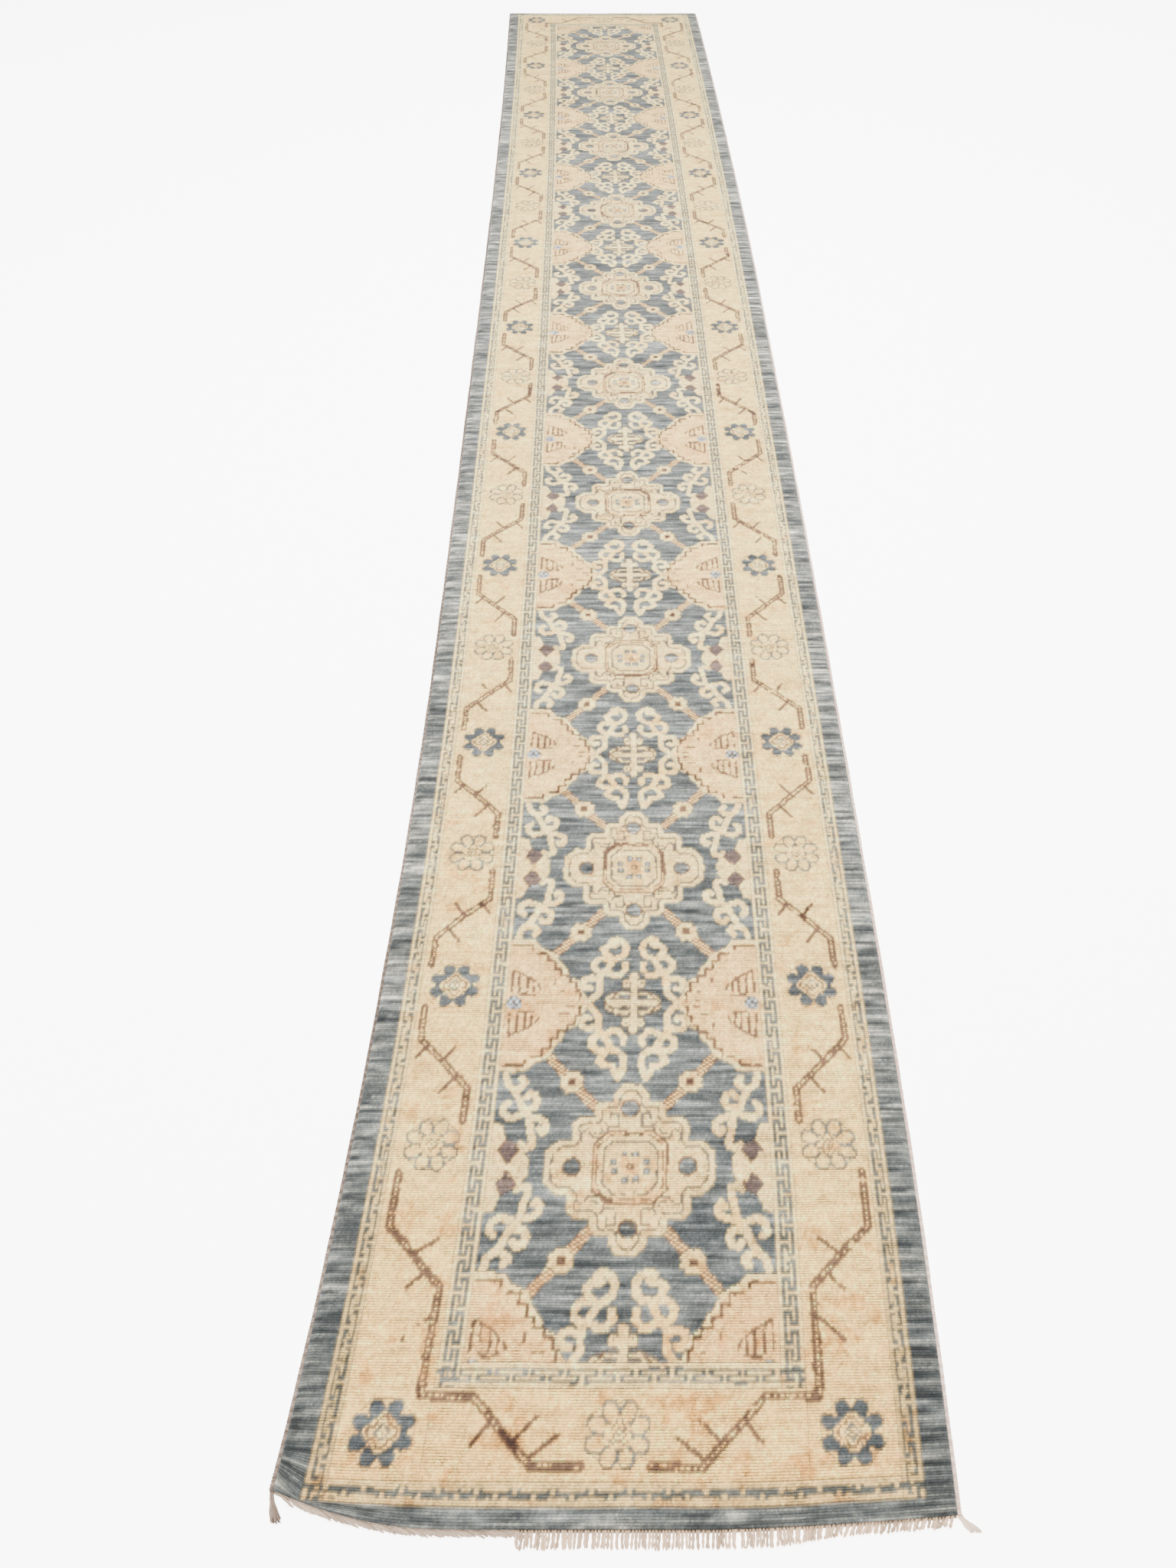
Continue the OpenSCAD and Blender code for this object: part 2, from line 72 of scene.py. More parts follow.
# %% Camera
CAMERA_RIGHT = 0.377
CAMERA_BACK = 0.24
CAMERA_HEIGHT = 1.599
CAMERA_TILT = 41.65
camera_data = bpy.data.cameras.new("camera")
camera_data.sensor_fit = "VERTICAL"
camera_data.sensor_height = 36
camera_data.lens = 27.04
camera = bpy.data.objects.new("camera", camera_data)
camera.location = (cad_box[0].x + CAMERA_RIGHT, cad_box[0].y - CAMERA_BACK, CAMERA_HEIGHT)
camera.rotation_euler = (np.radians(CAMERA_TILT), 0, 0)
bpy.context.scene.collection.objects.link(camera)
bpy.context.scene.camera = camera
print("camera at", [round(x, 3) for x in camera.location])

# %% [markdown]
# ## The straight rug
# The pile is cut up into rings: an outer band, an outer fret, the main border and an inner fret
# round the field. Their edges across and along are lists of running sums, and everything else is
# counted from them.

# %% Zones of the straight rug, in millimetres
RUG_W = 800.0
RUG_L = 5611.0
SELVEDGE_W = 6.0
SELVEDGE_T = 6.4
FOUNDATION_T = 2.5
PILE_H = 7.5
SIDE_RINGS = [35.0, 25.0, 106.0, 30.0]
END_RINGS = [22.0, 25.0, 102.0, 30.0]
side_edges = SELVEDGE_W + np.concatenate([[0], np.cumsum(SIDE_RINGS)])
end_edges = np.concatenate([[0], np.cumsum(END_RINGS)])
u_edges = np.concatenate([side_edges, RUG_W - side_edges[::-1]])
v_edges = np.concatenate([end_edges, RUG_L - end_edges[::-1]])
MIDDLE_U = RUG_W / 2
FIELD_HALF = MIDDLE_U - side_edges[-1]

MEDALLIONS = 10
MEDALLION = (242.0, 252.0)
SPANDREL = (128.0, 236.0)
CROSS = (88.0, 110.0)
BUD = (55.0, 135.0)
FLOWER_D = 38.0
ROSETTE_D = 82.0
ROSETTE_LAG = 32.0
END_CUT = 8.0
PITCH = (RUG_L - 2 * end_edges[-1] + 2 * END_CUT) / MEDALLIONS
FIRST = end_edges[-1] + PITCH / 2 - END_CUT
CORNER_V = end_edges[2] + END_RINGS[2] / 2
ROSETTE_U = side_edges[2] + SIDE_RINGS[2] / 2
print("pitch of the medallions", PITCH, "first at", FIRST)

# %% [markdown]
# ## How the rug lies
# A long rug never lies straight. Its middle line swings to the left at the front end, its width
# swells at the ends, and its front corners are drawn back. These are the same curves as in the CAD
# model, so every piece falls where its solid is. Over them runs a gentle wave a few millimetres
# high, which cloth has and a machined solid hasn't: the loom never gives both edges the same
# tension.

# %% From the straight rug to the floor
FRONT_SWING, SWING_REACH = 68.0, 700.0
BACK_DRIFT, DRIFT_FROM = 31.0, 3000.0
FRONT_FLARE, FLARE_REACH = 18.0, 350.0
WAIST, WAIST_AT, WAIST_REACH = 10.0, 1200.0, 700.0
BACK_FLARE, BACK_FLARE_FROM, BACK_FLARE_FULL = 8.0, 2000.0, 3500.0
LIFT_LEFT, LIFT_LEFT_REACH = 12.0, 250.0
LIFT_RIGHT, LIFT_RIGHT_REACH, LIFT_RIGHT_POWER = 15.0, 300.0, 1.5
LIFT_FADE = 100.0
CUT_REACH, CORNER_PILE = 200.0, 1.2


def smooth(t):
    """0 below 0, 1 above 1, and 3t^2 - 2t^3 between."""
    t = np.clip(t, 0, 1)
    return t * t * (3 - 2 * t)


def over(x):
    """x where it is above 0, else 0."""
    return np.maximum(0, x)


def cut(u):
    """How far the pile's front edge is cut back at u: a parabola that starts CUT_REACH in."""
    depth = END_RINGS[0] - CORNER_PILE
    return depth * (over(CUT_REACH - u) / (CUT_REACH - side_edges[1])) ** 2


def free_place(u, v):
    """x is the bowed middle line plus u's share of the width; y is v plus the corner's lift."""
    lift = LIFT_LEFT * over(1 - u / LIFT_LEFT_REACH) ** 2
    lift = lift + LIFT_RIGHT * over(1 - (RUG_W - u) / LIFT_RIGHT_REACH) ** LIFT_RIGHT_POWER
    s = v + lift * np.exp(-v / LIFT_FADE)
    drift = over((s - DRIFT_FROM) / (RUG_L - DRIFT_FROM))
    middle = -FRONT_SWING * np.exp(-s / SWING_REACH) - BACK_DRIFT * drift**2
    width = RUG_W + FRONT_FLARE * np.exp(-s / FLARE_REACH)
    width = width - WAIST * np.exp(-(((s - WAIST_AT) / WAIST_REACH) ** 2))
    flare_run = BACK_FLARE_FULL - BACK_FLARE_FROM
    width = width + BACK_FLARE * smooth((s - BACK_FLARE_FROM) / flare_run)
    return middle + (u / RUG_W - 0.5) * width, s


SLOW_WAVE, QUICK_WAVE = 0.75, 0.5


def wave(u, s):
    """Height of the cloth's own waves: two slow sines, twice as high at the edges as inside."""
    slow = 1.0 + np.sin(s / 290 + u / 350)
    quick = 1.0 + np.sin(s / 131 - u / 260 + 1.3)
    return (SLOW_WAVE * slow + QUICK_WAVE * quick) * (0.5 + 0.5 * (u / MIDDLE_U - 1) ** 2)


# The frame's box tells where the laid rug's left edge and back end have to be.
edge_v = np.linspace(0, RUG_L, 400)
left_x = free_place(side_edges[0], np.maximum(edge_v, cut(side_edges[0])))[0]
SHIFT_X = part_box("selvedge_wrap_left")[0].x / MM - (left_x.min() - SELVEDGE_W)
SHIFT_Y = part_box("outer_band_back")[1].y / MM - RUG_L


def lay(u, v, z=0.0):
    """Points of the laid rug in metres: the place of (u, v), and z above the waving underside."""
    x, y = free_place(np.asarray(u, float), np.asarray(v, float))
    x, y, z = np.broadcast_arrays(x + SHIFT_X, y + SHIFT_Y, z + wave(u, y))
    return np.stack([x, y, z], axis=-1) * MM


print("shift of the middle", round(SHIFT_X, 2), round(SHIFT_Y, 2))

# %% [markdown]
# ## The grid of knots
# A knot of this rug is about 2.5 mm wide and 3.3 mm along the rug. Each ring gets a whole number
# of knots, so every edge between two colours' areas lies on the grid and the pieces of pile meet
# exactly. One grid of corner points serves them all.

# %% Columns and rows of knots
KNOT_W = 2.46
KNOT_L = 3.3


def stations(edges, step):
    """Every edge, and even steps of about the given size between each two."""
    runs = [
        np.linspace(a, b, max(1, round((b - a) / step)) + 1)[:-1] for a, b in zip(edges, edges[1:])
    ]
    return np.concatenate(runs + [edges[-1:]])


us = stations(u_edges, KNOT_W)
vs = stations(v_edges, KNOT_L)
ROWS, COLS = len(vs) - 1, len(us) - 1
rng = np.random.default_rng(29)
print("knots across and along", COLS, ROWS, "in all", COLS * ROWS)


def patchy(rows, cols, along, across):
    """Soft random patches: coarse random numbers, blended smoothly between their points."""
    coarse = rng.uniform(-1, 1, (int(rows / along) + 2, int(cols / across) + 2))
    r, c = np.arange(rows) / along, np.arange(cols) / across
    i, j = r.astype(int), c.astype(int)
    a, b = smooth(r - i)[:, None], smooth(c - j)[None, :]
    near = coarse[i][:, j] * (1 - b) + coarse[i][:, j + 1] * b
    far = coarse[i + 1][:, j] * (1 - b) + coarse[i + 1][:, j + 1] * b
    return near * (1 - a) + far * a


# %% [markdown]
# The front left corner of the pile is cut back under the folded fringe, so the first rows of
# knots crowd together there. The tops of the knots are sheared, but never quite level: each
# corner point of the grid stands a little higher or lower than the next, and the outermost knots
# lean down to the edge.

# %% Corner points of the knots
SQUEEZE_TO = 80.0
CORNER_SLOPE = 0.45
TOP_Z = FOUNDATION_T + PILE_H
ROW_WANDER, COLUMN_WANDER = 0.8, 0.5
SHEAR, HOLLOWS = 0.16, 0.25
EDGE_DROP, EDGE_ROUND = 2.2, 6.0


def drawn_back(u, v):
    """Maps [0, band, SQUEEZE_TO] to [cut, first, SQUEEZE_TO] in straight pieces, for each u."""
    start = cut(u)
    band = END_RINGS[0]
    corner_first = start + CORNER_PILE + CORNER_SLOPE * (side_edges[1] - u)
    first = np.where(u < side_edges[1], corner_first, band)
    near = start + v / band * (first - start)
    far = first + (v - band) / (SQUEEZE_TO - band) * (SQUEEZE_TO - first)
    return np.where(v < band, near, np.where(v < SQUEEZE_TO, far, v))


grid_u, grid_v = np.meshgrid(us, vs)
grid_v = drawn_back(grid_u, grid_v)
row_wander = ROW_WANDER * patchy(ROWS + 1, COLS + 1, 9, 34)
column_wander = COLUMN_WANDER * patchy(ROWS + 1, COLS + 1, 40, 12)
inner = smooth(np.minimum(grid_u - us[0], us[-1] - grid_u) / 12)
row_no = np.arange(ROWS + 1)
inner = inner * smooth(np.minimum(row_no, ROWS - row_no) / 5)[:, None]
grid_u = grid_u + inner * column_wander
grid_v = grid_v + inner * row_wander
rim = np.minimum(grid_u - us[0], us[-1] - grid_u)
rim = np.minimum(rim, np.minimum(grid_v - cut(grid_u), RUG_L - grid_v))
shear = SHEAR * rng.uniform(-1, 1, grid_u.shape) + HOLLOWS * patchy(ROWS + 1, COLS + 1, 7, 9)
top_z = TOP_Z + shear - EDGE_DROP * (1 - smooth(rim / EDGE_ROUND))
top_points = lay(grid_u, grid_v, top_z).reshape(-1, 3)
low_points = lay(grid_u, grid_v, FOUNDATION_T).reshape(-1, 3)
print("pile top from", round(top_z.min(), 2), "to", round(top_z.max(), 2), "mm")

# %% [markdown]
# ## Drawing on the knots
# The weaver follows a drawing on squared paper and rounds every line to whole knots. So does this
# script: each motif is a set of strokes, rings and outlines in millimetres, and a knot takes a
# colour if its middle lies in them. The middles are pushed about by soft noise of a millimetre or
# two first, because no two repeats of a hand-made rug are alike.

# %% Tools for drawing
def to_path(x, y, points):
    """Distance from (x, y) to a line through the points: the least over its straight pieces."""
    best = np.full(np.shape(x), 1e9)
    for (ax, ay), (bx, by) in zip(points, points[1:]):
        dx, dy = bx - ax, by - ay
        t = np.clip(((x - ax) * dx + (y - ay) * dy) / (dx * dx + dy * dy + 1e-9), 0, 1)
        best = np.minimum(best, np.hypot(x - ax - t * dx, y - ay - t * dy))
    return best


def inside(x, y, points):
    """Even and odd rule: how many sides of the outline a ray from (x, y) crosses."""
    crossed = np.zeros(np.shape(x), bool)
    for (ax, ay), (bx, by) in zip(points, points[1:] + points[:1]):
        if ay != by:
            crossed ^= ((ay > y) != (by > y)) & (x < ax + (y - ay) * (bx - ax) / (by - ay))
    return crossed


def sized(points, a, b):
    """Scales an outline by a across and b along."""
    return [(p * a, q * b) for p, q in points]


def to_lines(x, y, lines):
    """Distance to the nearest of several lines."""
    best = np.full(np.shape(x), 1e9)
    for points in lines:
        best = np.minimum(best, to_path(x, y, points))
    return best


middle_u = (us[1:] + us[:-1]) / 2
middle_v = (vs[1:] + vs[:-1]) / 2
U, V = np.meshgrid(middle_u, middle_v)
SLOW_SHAKE, QUICK_SHAKE, FRET_SHAKE = 1.5, 0.7, 0.45
shaky = [
    SLOW_SHAKE * patchy(ROWS, COLS, 16, 20) + QUICK_SHAKE * patchy(ROWS, COLS, 2, 3)
    for _ in range(2)
]
# DU, DV are the shaken places of the motifs; the frets are counted knots and are shaken less.
DU, DV = U + shaky[0], V + shaky[1]
FU, FV = U + FRET_SHAKE * shaky[0], V + FRET_SHAKE * shaky[1]

# %% Yarns, as sRGB colours
YARNS = {
    "field_blue": (91, 94, 91),
    "band_blue": (105, 106, 100),
    "fret_blue": (101, 101, 92),
    "rosette_blue": (80, 83, 82),
    "cream": (248, 203, 122),
    "ivory": (246, 212, 138),
    "beige": (243, 194, 122),
    "blush": (245, 206, 132),
    "straw": (242, 205, 130),
    "brown": (106, 78, 58),
    "dark_brown": (72, 48, 36),
    "grey": (100, 90, 78),
    "plum": (98, 80, 72),
    "pale_blue": (178, 182, 184),
    "gold": (222, 172, 100),
}
yarn_names = list(YARNS)
yarn = np.zeros((ROWS, COLS), np.int8)


def dye(where, name):
    """Gives the knots of a mask their yarn."""
    yarn[where] = yarn_names.index(name)


def broken(share):
    """A mask that leaves gaps in a line, as where a weaver drops or changes a colour."""
    return gaps < share


gaps = 0.5 + 0.5 * patchy(ROWS, COLS, 3, 4)
tint = 0.5 + 0.5 * patchy(ROWS, COLS, 14, 18)
print("yarns", len(YARNS))

# %% [markdown]
# ## Which piece a knot belongs to
# A knot lies in one ring across and one ring along the rug; the outer of the two is its zone. The
# motifs of the field and the rosettes of the border are outlines, given as shares of half their
# size, and each takes the knots inside it out of the zone.

# %% Rings and motifs
RING_NAMES = ["outer_band", "outer_fret", "main_border", "inner_fret"]
ring_u = np.searchsorted(side_edges, np.minimum(U, RUG_W - U)) - 1
ring_v = np.searchsorted(end_edges, np.minimum(V, RUG_L - V)) - 1
ring = np.minimum(ring_u, ring_v)
at_side = ring_u == ring
left_half, front_half = U < MIDDLE_U, V < RUG_L / 2
piece_masks = {}
for k, ring_name in enumerate(RING_NAMES):
    piece_masks[ring_name + "_left"] = (ring == k) & at_side & left_half
    piece_masks[ring_name + "_right"] = (ring == k) & at_side & ~left_half
    piece_masks[ring_name + "_front"] = (ring == k) & ~at_side & front_half
    piece_masks[ring_name + "_back"] = (ring == k) & ~at_side & ~front_half
in_field = ring == len(RING_NAMES)
print("knots in the field", int(in_field.sum()))

# %% Outlines of the motifs, as shares of half their size

medallion_quadrant = [
    (0, 1), (0.10, 1), (0.21, 0.87), (0.21, 0.78), (0.36, 0.78), (0.42, 0.71), (0.42, 0.59),
    (0.61, 0.59), (0.69, 0.51), (0.69, 0.32), (0.84, 0.32), (0.98, 0.19), (1, 0),
]
spandrel_half = [
    (0, 1), (0.30, 1), (0.39, 0.88), (0.58, 0.78), (0.63, 0.64), (0.72, 0.53), (0.77, 0.41),
    (0.89, 0.34), (0.93, 0.17), (1, 0.07),
]
bud_half = [(0, 1), (0.24, 0.92), (0.36, 0.62), (0.80, 0.44), (1, 0.16)]
cross_quadrant = [
    (0, 1), (0.30, 1), (0.42, 0.86), (0.42, 0.42), (0.88, 0.38), (1, 0.24), (1, 0),
]
medallion_line = sized(medallion_quadrant, MEDALLION[0] / 2, MEDALLION[1] / 2)
spandrel_line = sized(spandrel_half, SPANDREL[0], SPANDREL[1] / 2)
bud_line = sized(bud_half, BUD[0], BUD[1] / 2)
cross_line = sized(cross_quadrant, CROSS[0] / 2, CROSS[1] / 2)
print("corners of the medallion's quarter", len(medallion_line))

# %% Places in the repeat
# mx across and my along from the nearest medallion, cy from the nearest cross, and depth in from
# the field's nearer side.
repeat = np.clip(np.round((DV - FIRST) / PITCH), 0, MEDALLIONS - 1)
mx, my = DU - MIDDLE_U, DV - FIRST - repeat * PITCH
cy = my - np.sign(my) * PITCH / 2
amx, amy, acy = np.abs(mx), np.abs(my), np.abs(cy)
depth = FIELD_HALF - amx
corner = (0.42 * MEDALLION[0] / 2, 0.71 * MEDALLION[1] / 2)
spandrel_corner = (FIELD_HALF - 0.58 * SPANDREL[0], PITCH / 2 - 0.78 * SPANDREL[1] / 2)
flower = ((corner[0] + spandrel_corner[0]) / 2, (corner[1] + spandrel_corner[1]) / 2)
print("flower of the arm at", [round(float(x), 1) for x in flower])


LOBES = 8
FLOWER_DIP, ROSETTE_DIP = 0.08, 0.05
PAST_SIDE = 9


def petalled(x, y, diameter, dip):
    """True inside a round outline with eight lobes: r = d/2 (1 - dip (1 + cos 8a))."""
    angle = np.arctan2(y, x)
    return np.hypot(x, y) < diameter / 2 * (1 - dip * (1 + np.cos(LOBES * angle)))


def from_side(outline, reach):
    """Closes a half outline a little beyond the field's side, so that no sliver is left there."""
    return [(-PAST_SIDE, 0), (-PAST_SIDE, outline[0][1])] + outline[1:] + [(reach, 0)]


def tidy(mask):
    """Fills corners where two knots of a mask touch only by their corners."""
    mask = mask.copy()
    for _ in range(8):
        a, b, c, d = mask[:-1, :-1], mask[:-1, 1:], mask[1:, :-1], mask[1:, 1:]
        bad = (a & d & ~b & ~c) | (b & c & ~a & ~d)
        if not bad.any():
            break
        mask[:-1, :-1] |= bad
        mask[:-1, 1:] |= bad
    return mask


# %% Knots of each motif
field_masks = {
    "medallions": inside(amx, amy, medallion_line + [(0, 0)]),
    "spandrels": inside(depth, acy, from_side(spandrel_line, SPANDREL[0])),
    "crosses": inside(amx, acy, cross_line + [(0, 0)]),
    "side_buds": inside(depth, amy, from_side(bud_line, BUD[0])),
    "arm_flowers": petalled(amx - flower[0], amy - flower[1], FLOWER_D, FLOWER_DIP),
}
taken = np.zeros_like(in_field)
for name, mask in field_masks.items():
    piece_masks[name] = tidy(mask & in_field & ~taken)
    taken |= piece_masks[name]
piece_masks["field_pile"] = in_field & ~taken

rosette_i = np.clip(np.round((DV - FIRST - ROSETTE_LAG) / (PITCH / 2)), 0, 2 * MEDALLIONS - 2)
rosette_v = FIRST + ROSETTE_LAG + rosette_i * PITCH / 2
near_corner = np.minimum(DV, RUG_L - DV) < CORNER_V + ROSETTE_D
corner_v = np.where(front_half, CORNER_V, RUG_L - CORNER_V)
rv = np.where(near_corner, DV - corner_v, DV - rosette_v)
side_ru = np.minimum(DU, RUG_W - DU) - ROSETTE_U
in_rosette = petalled(side_ru, rv, ROSETTE_D, ROSETTE_DIP) & (ring == 2) & at_side
blue_one = near_corner | (rosette_i % 2 == 1)
end_rosette = petalled(mx, DV - corner_v, ROSETTE_D, ROSETTE_DIP) & (ring == 2) & ~at_side
piece_masks["blue_rosettes"] = tidy(in_rosette & blue_one)
piece_masks["pale_rosettes"] = tidy((in_rosette & ~blue_one) | end_rosette)
for name in ("blue_rosettes", "pale_rosettes"):
    for side in ("left", "right", "front", "back"):
        piece_masks["main_border_" + side] &= ~piece_masks[name]
print({name: int(mask.sum()) for name, mask in piece_masks.items()})

# %% [markdown]
# ## Grounds and frets
# First each zone gets its ground colour. The frets are a key pattern between two ivory guard
# lines: along the sides, interlocking T shapes in ivory on grey blue; along the ends, two rows of
# bricks.

# %% Grounds
GUARD = 5.4
KEY_PITCH = 44.0
KEY_BAR, KEY_STEM, KEY_REACH, KEY_PAST = 1.8, 1.5, 15.0, 1.3
BRICK, BRICK_HOLLOW = (3.6, 19.5), (1.3, 15.0)
for k, ground in enumerate(["band_blue", "ivory", "cream", "ivory", "field_blue"]):
    dye(ring == k, ground)


def key_fret(w, t, wide):
    """True on the grey ground between the T shapes: w across the fret, t along it."""
    third = wide / 3
    swing = np.abs((t + KEY_PITCH / 2) % KEY_PITCH - KEY_PITCH / 2)
    back = KEY_PITCH / 2 - swing
    bar = (swing < KEY_BAR) & (w < 2 * third + KEY_PAST)
    stem = (np.abs(w - 2 * third) < KEY_STEM) & (swing < KEY_REACH)
    bar |= (back < KEY_BAR) & (w > third - KEY_PAST)
    stem |= (np.abs(w - third) < KEY_STEM) & (back < KEY_REACH)
    return ~(bar | stem) & (w > 0) & (w < wide)


def brick_fret(w, t, wide):
    """True on the bricks: two rows, the second shifted by half a pitch, each brick open inside."""
    row = (w > wide / 2).astype(int)
    centre = np.where(row == 0, wide * 0.25, wide * 0.75)
    swing = np.abs((t + row * KEY_PITCH / 2) % KEY_PITCH - KEY_PITCH / 2)
    brick = (np.abs(w - centre) < BRICK[0]) & (swing < BRICK[1])
    hollow = (np.abs(w - centre) < BRICK_HOLLOW[0]) & (swing < BRICK_HOLLOW[1])
    return brick & ~hollow


for k in (1, 3):
    wide = SIDE_RINGS[k] - 2 * GUARD
    w = np.minimum(FU, RUG_W - FU) - side_edges[k] - GUARD
    dye((ring == k) & at_side & key_fret(w, FV, wide), "fret_blue")
    w = np.minimum(FV, RUG_L - FV) - end_edges[k] - GUARD
    pattern = brick_fret(w, FU, wide) if k == 1 else key_fret(w, FU, wide)
    dye((ring == k) & ~at_side & pattern, "fret_blue")
    in_corner = (ring == k) & at_side & (ring_v == k) & (w < wide)
    dye(in_corner & brick_fret(w, FU, wide), "fret_blue")
print("fret knots", int((yarn == yarn_names.index("fret_blue")).sum()))

# %% [markdown]
# ## The medallion
# A stepped quatrefoil: an ivory outline, a thin grey line inside it, four dark discs in its lobes,
# hooks in its steps, and an octagon in the middle with a small gold square. Because the drawing
# is the same in all four quarters, it is made with the distances from the two axes, and the shaky
# places of the knots make each quarter a little different.

# %% Medallion
OUTLINE_W = 7.6
INNER_LINE = (8.6, 11.8)
HOOK_R, DISC_R, DISC_RIM = 1.7, 11.5, 14.5
OCTAGON_LEAN = 0.617
OCTAGON_BANDS = [53.5, 50.0, 47.5, 45.0, 39.5, 36.5]
here = piece_masks["medallions"]
edge = to_path(amx, amy, medallion_line)
dye(here, "blush")
dye(here & (edge < OUTLINE_W), "ivory")
dye(here & (edge > INNER_LINE[0]) & (edge < INNER_LINE[1]) & broken(0.86), "grey")
hooks = [
    [(33, 57), (35, 42), (54, 42), (59, 50)],
    [(41, 54), (43, 48), (51, 48)],
    [(17, 60), (17, 81), (29, 81), (29, 73)],
    [(17, 60), (32, 60), (37, 66)],
    [(62, 54), (70, 50), (70, 38)],
]
for hook in hooks:
    dye(here & (to_path(amx, amy, hook) < HOOK_R) & broken(0.9), "grey")
lobe_x, lobe_y = 81.0, 88.0
lobe = np.minimum(np.hypot(mx, amy - lobe_y), np.hypot(amx - lobe_x, my))
dye(here & (lobe < DISC_RIM), "brown")
dye(here & (lobe < DISC_R), "band_blue")
dye(here & (lobe < DISC_R) & (tint > 0.8), "grey")
octagon = np.maximum(np.maximum(amx, amy), (amx + amy) * OCTAGON_LEAN)
band_yarns = ["brown", "beige", "brown", "blush", "grey", "straw"]
band_shows = [True, tint > 0.35, broken(0.6), True, True, True]
for size, name, shows in zip(OCTAGON_BANDS, band_yarns, band_shows):
    dye(here & (octagon < size) & shows, name)
for centre in [(7.5, 18.5), (22.5, 6.5)]:
    tile = np.maximum(np.abs(amx - centre[0]), np.abs(amy - centre[1]))
    dye(here & (tile < 5), "fret_blue")
    dye(here & (tile < 1.8), "pale_blue")
tile = np.maximum(amx, amy)
for size, name in [(13, "gold"), (5, "brown"), (1.7, "straw")]:
    dye(here & (tile < size), name)
print("medallion knots", int(here.sum()))

# %% [markdown]
# ## Arms, flowers and scrolls
# A checked brown arm leaves each corner of a medallion, passes through a flower and ends at a
# spandrel. Ivory scrolls fill the blue ground: hooked rings joined by stems, beside each medallion
# and above and below each cross. Each scroll is a handful of strokes, given by their corners.

# %% Arms, flowers and scrolls
SCROLL = 5.0
ARM_R, ARM_EDGE, ARM_START = 7.5, 6.4, -4
here = piece_masks["field_pile"]
beside = [
    [(187, 142), (183, 126), (174, 118), (163, 120), (156, 128), (162, 136)],
    [(172, 118), (164, 101), (158, 88), (150, 81), (146, 69), (144, 54), (140, 39), (140, 30)],
    [(160, 88), (148, 87), (139, 90), (136, 99), (140, 109), (149, 111), (153, 105)],
    [(152, 80), (165, 75), (176, 72), (185, 79), (187, 91), (180, 96)],
    [(148, 75), (133, 73), (123, 67), (121, 57), (127, 50), (131, 55)],
    [(140, 30), (148, 27), (156, 32)],
]
by_cross = [
    [(36, 80), (24, 83), (15, 91), (13, 103)],
    [(36, 80), (45, 90), (50, 100), (41, 107), (30, 108)],
    [(34, 80), (38, 70), (45, 57), (32, 50), (20, 51), (14, 60), (15, 71)],
    [(44, 82), (55, 82), (63, 74), (62, 63), (53, 55)],
    [(48, 56), (53, 48), (53, 20), (62, 9), (74, 0)],
    [(56, 42), (66, 46), (77, 43), (80, 33), (75, 26), (67, 27)],
]
over_cross = [[(13, 103), (18, 114), (29, 119), (37, 116)]]
under_cross = [[(13, 103), (15, 115), (20, 128), (27, 116)]]
scroll = np.minimum(to_lines(amx, amy, beside), to_lines(amx, acy, by_cross))
tip = np.where(cy > 0, to_lines(amx, acy, over_cross), to_lines(amx, acy, under_cross))
scroll = np.minimum(scroll, tip)
dye(here & (scroll < SCROLL), "ivory")
dye(here & (scroll < SCROLL) & (tint > 0.7), "cream")

arm = to_path(amx, amy, [corner, spandrel_corner])
slope = np.subtract(spandrel_corner, corner)
slope = slope / np.hypot(*slope)
run = (amx - corner[0]) * slope[0] + (amy - corner[1]) * slope[1]
check = np.add.outer(np.arange(ROWS), np.arange(COLS) // 2) % 2 == 0
on_arm = here & (arm < ARM_R) & (run > ARM_START)
dye(on_arm, "beige")
dye(on_arm & (check | (arm > ARM_EDGE)), "brown")
dye(on_arm & check & (tint > 0.72), "dark_brown")

here = piece_masks["arm_flowers"]
heart = np.maximum(np.abs(amx - flower[0]), np.abs(amy - flower[1]))
dye(here, "straw")
dye(here & (np.hypot(amx - flower[0], amy - flower[1]) > 15), "ivory")
dye(here & (heart < 6), "brown")
dye(here & (heart < 3.2) & (tint > 0.5), "dark_brown")
print("scroll knots", int((piece_masks["field_pile"] & (scroll < SCROLL)).sum()))

# %% [markdown]
# ## Spandrels, crosses and side buds
# The spandrels are half medallions against the field's sides, beige in an ivory outline, with a
# small blue checked palmette, leaves on both sides of it, and a broken brown line that follows the
# outline. Between two spandrels lies a cross. The buds are small pale wedges with two dark
# diamonds.

# %% Spandrels
STEP_R, LEAF_R, DASH_R = 2.3, 2.1, 1.7
PALMETTE_R = 12
here = piece_masks["spandrels"]
edge = to_path(depth, acy, spandrel_line)
dye(here, "beige")
dye(here & (edge < 7), "ivory")
steps = [
    [(4, 107), (36, 107), (36, 99)],
    [(46, 92), (62, 92), (62, 78), (73, 78), (73, 62), (84, 62), (84, 50)],
    [(84, 50), (98, 50), (98, 38), (109, 38), (109, 22), (115, 22), (115, 6)],
]
along_edge = to_lines(depth, acy, steps)
dye(here & (along_edge < STEP_R) & broken(0.82), "brown")
dye(here & (along_edge < 1.9) & broken(0.5) & ((acy > 88) | (tint > 0.62)), "dark_brown")
leaves = [
    [(41, 20), (41, 38), (34, 46)],
    [(31, 19), (31, 47), (22, 52)],
    [(19, 19), (18, 53), (8, 59), (7, 20)],
    [(44, 15), (22, 15)],
    [(52, 24), (48, 34)],
]
for leaf in leaves:
    dye(here & (to_path(depth, acy, leaf) < LEAF_R) & broken(0.82), "brown")
for dash in [[(98, 20), (84, 20)], [(106, 5), (96, 5)], [(74, 44), (74, 34)]]:
    dye(here & (to_path(depth, acy, dash) < DASH_R) & broken(0.6), "brown")
palmette = np.hypot(depth - 13, cy)
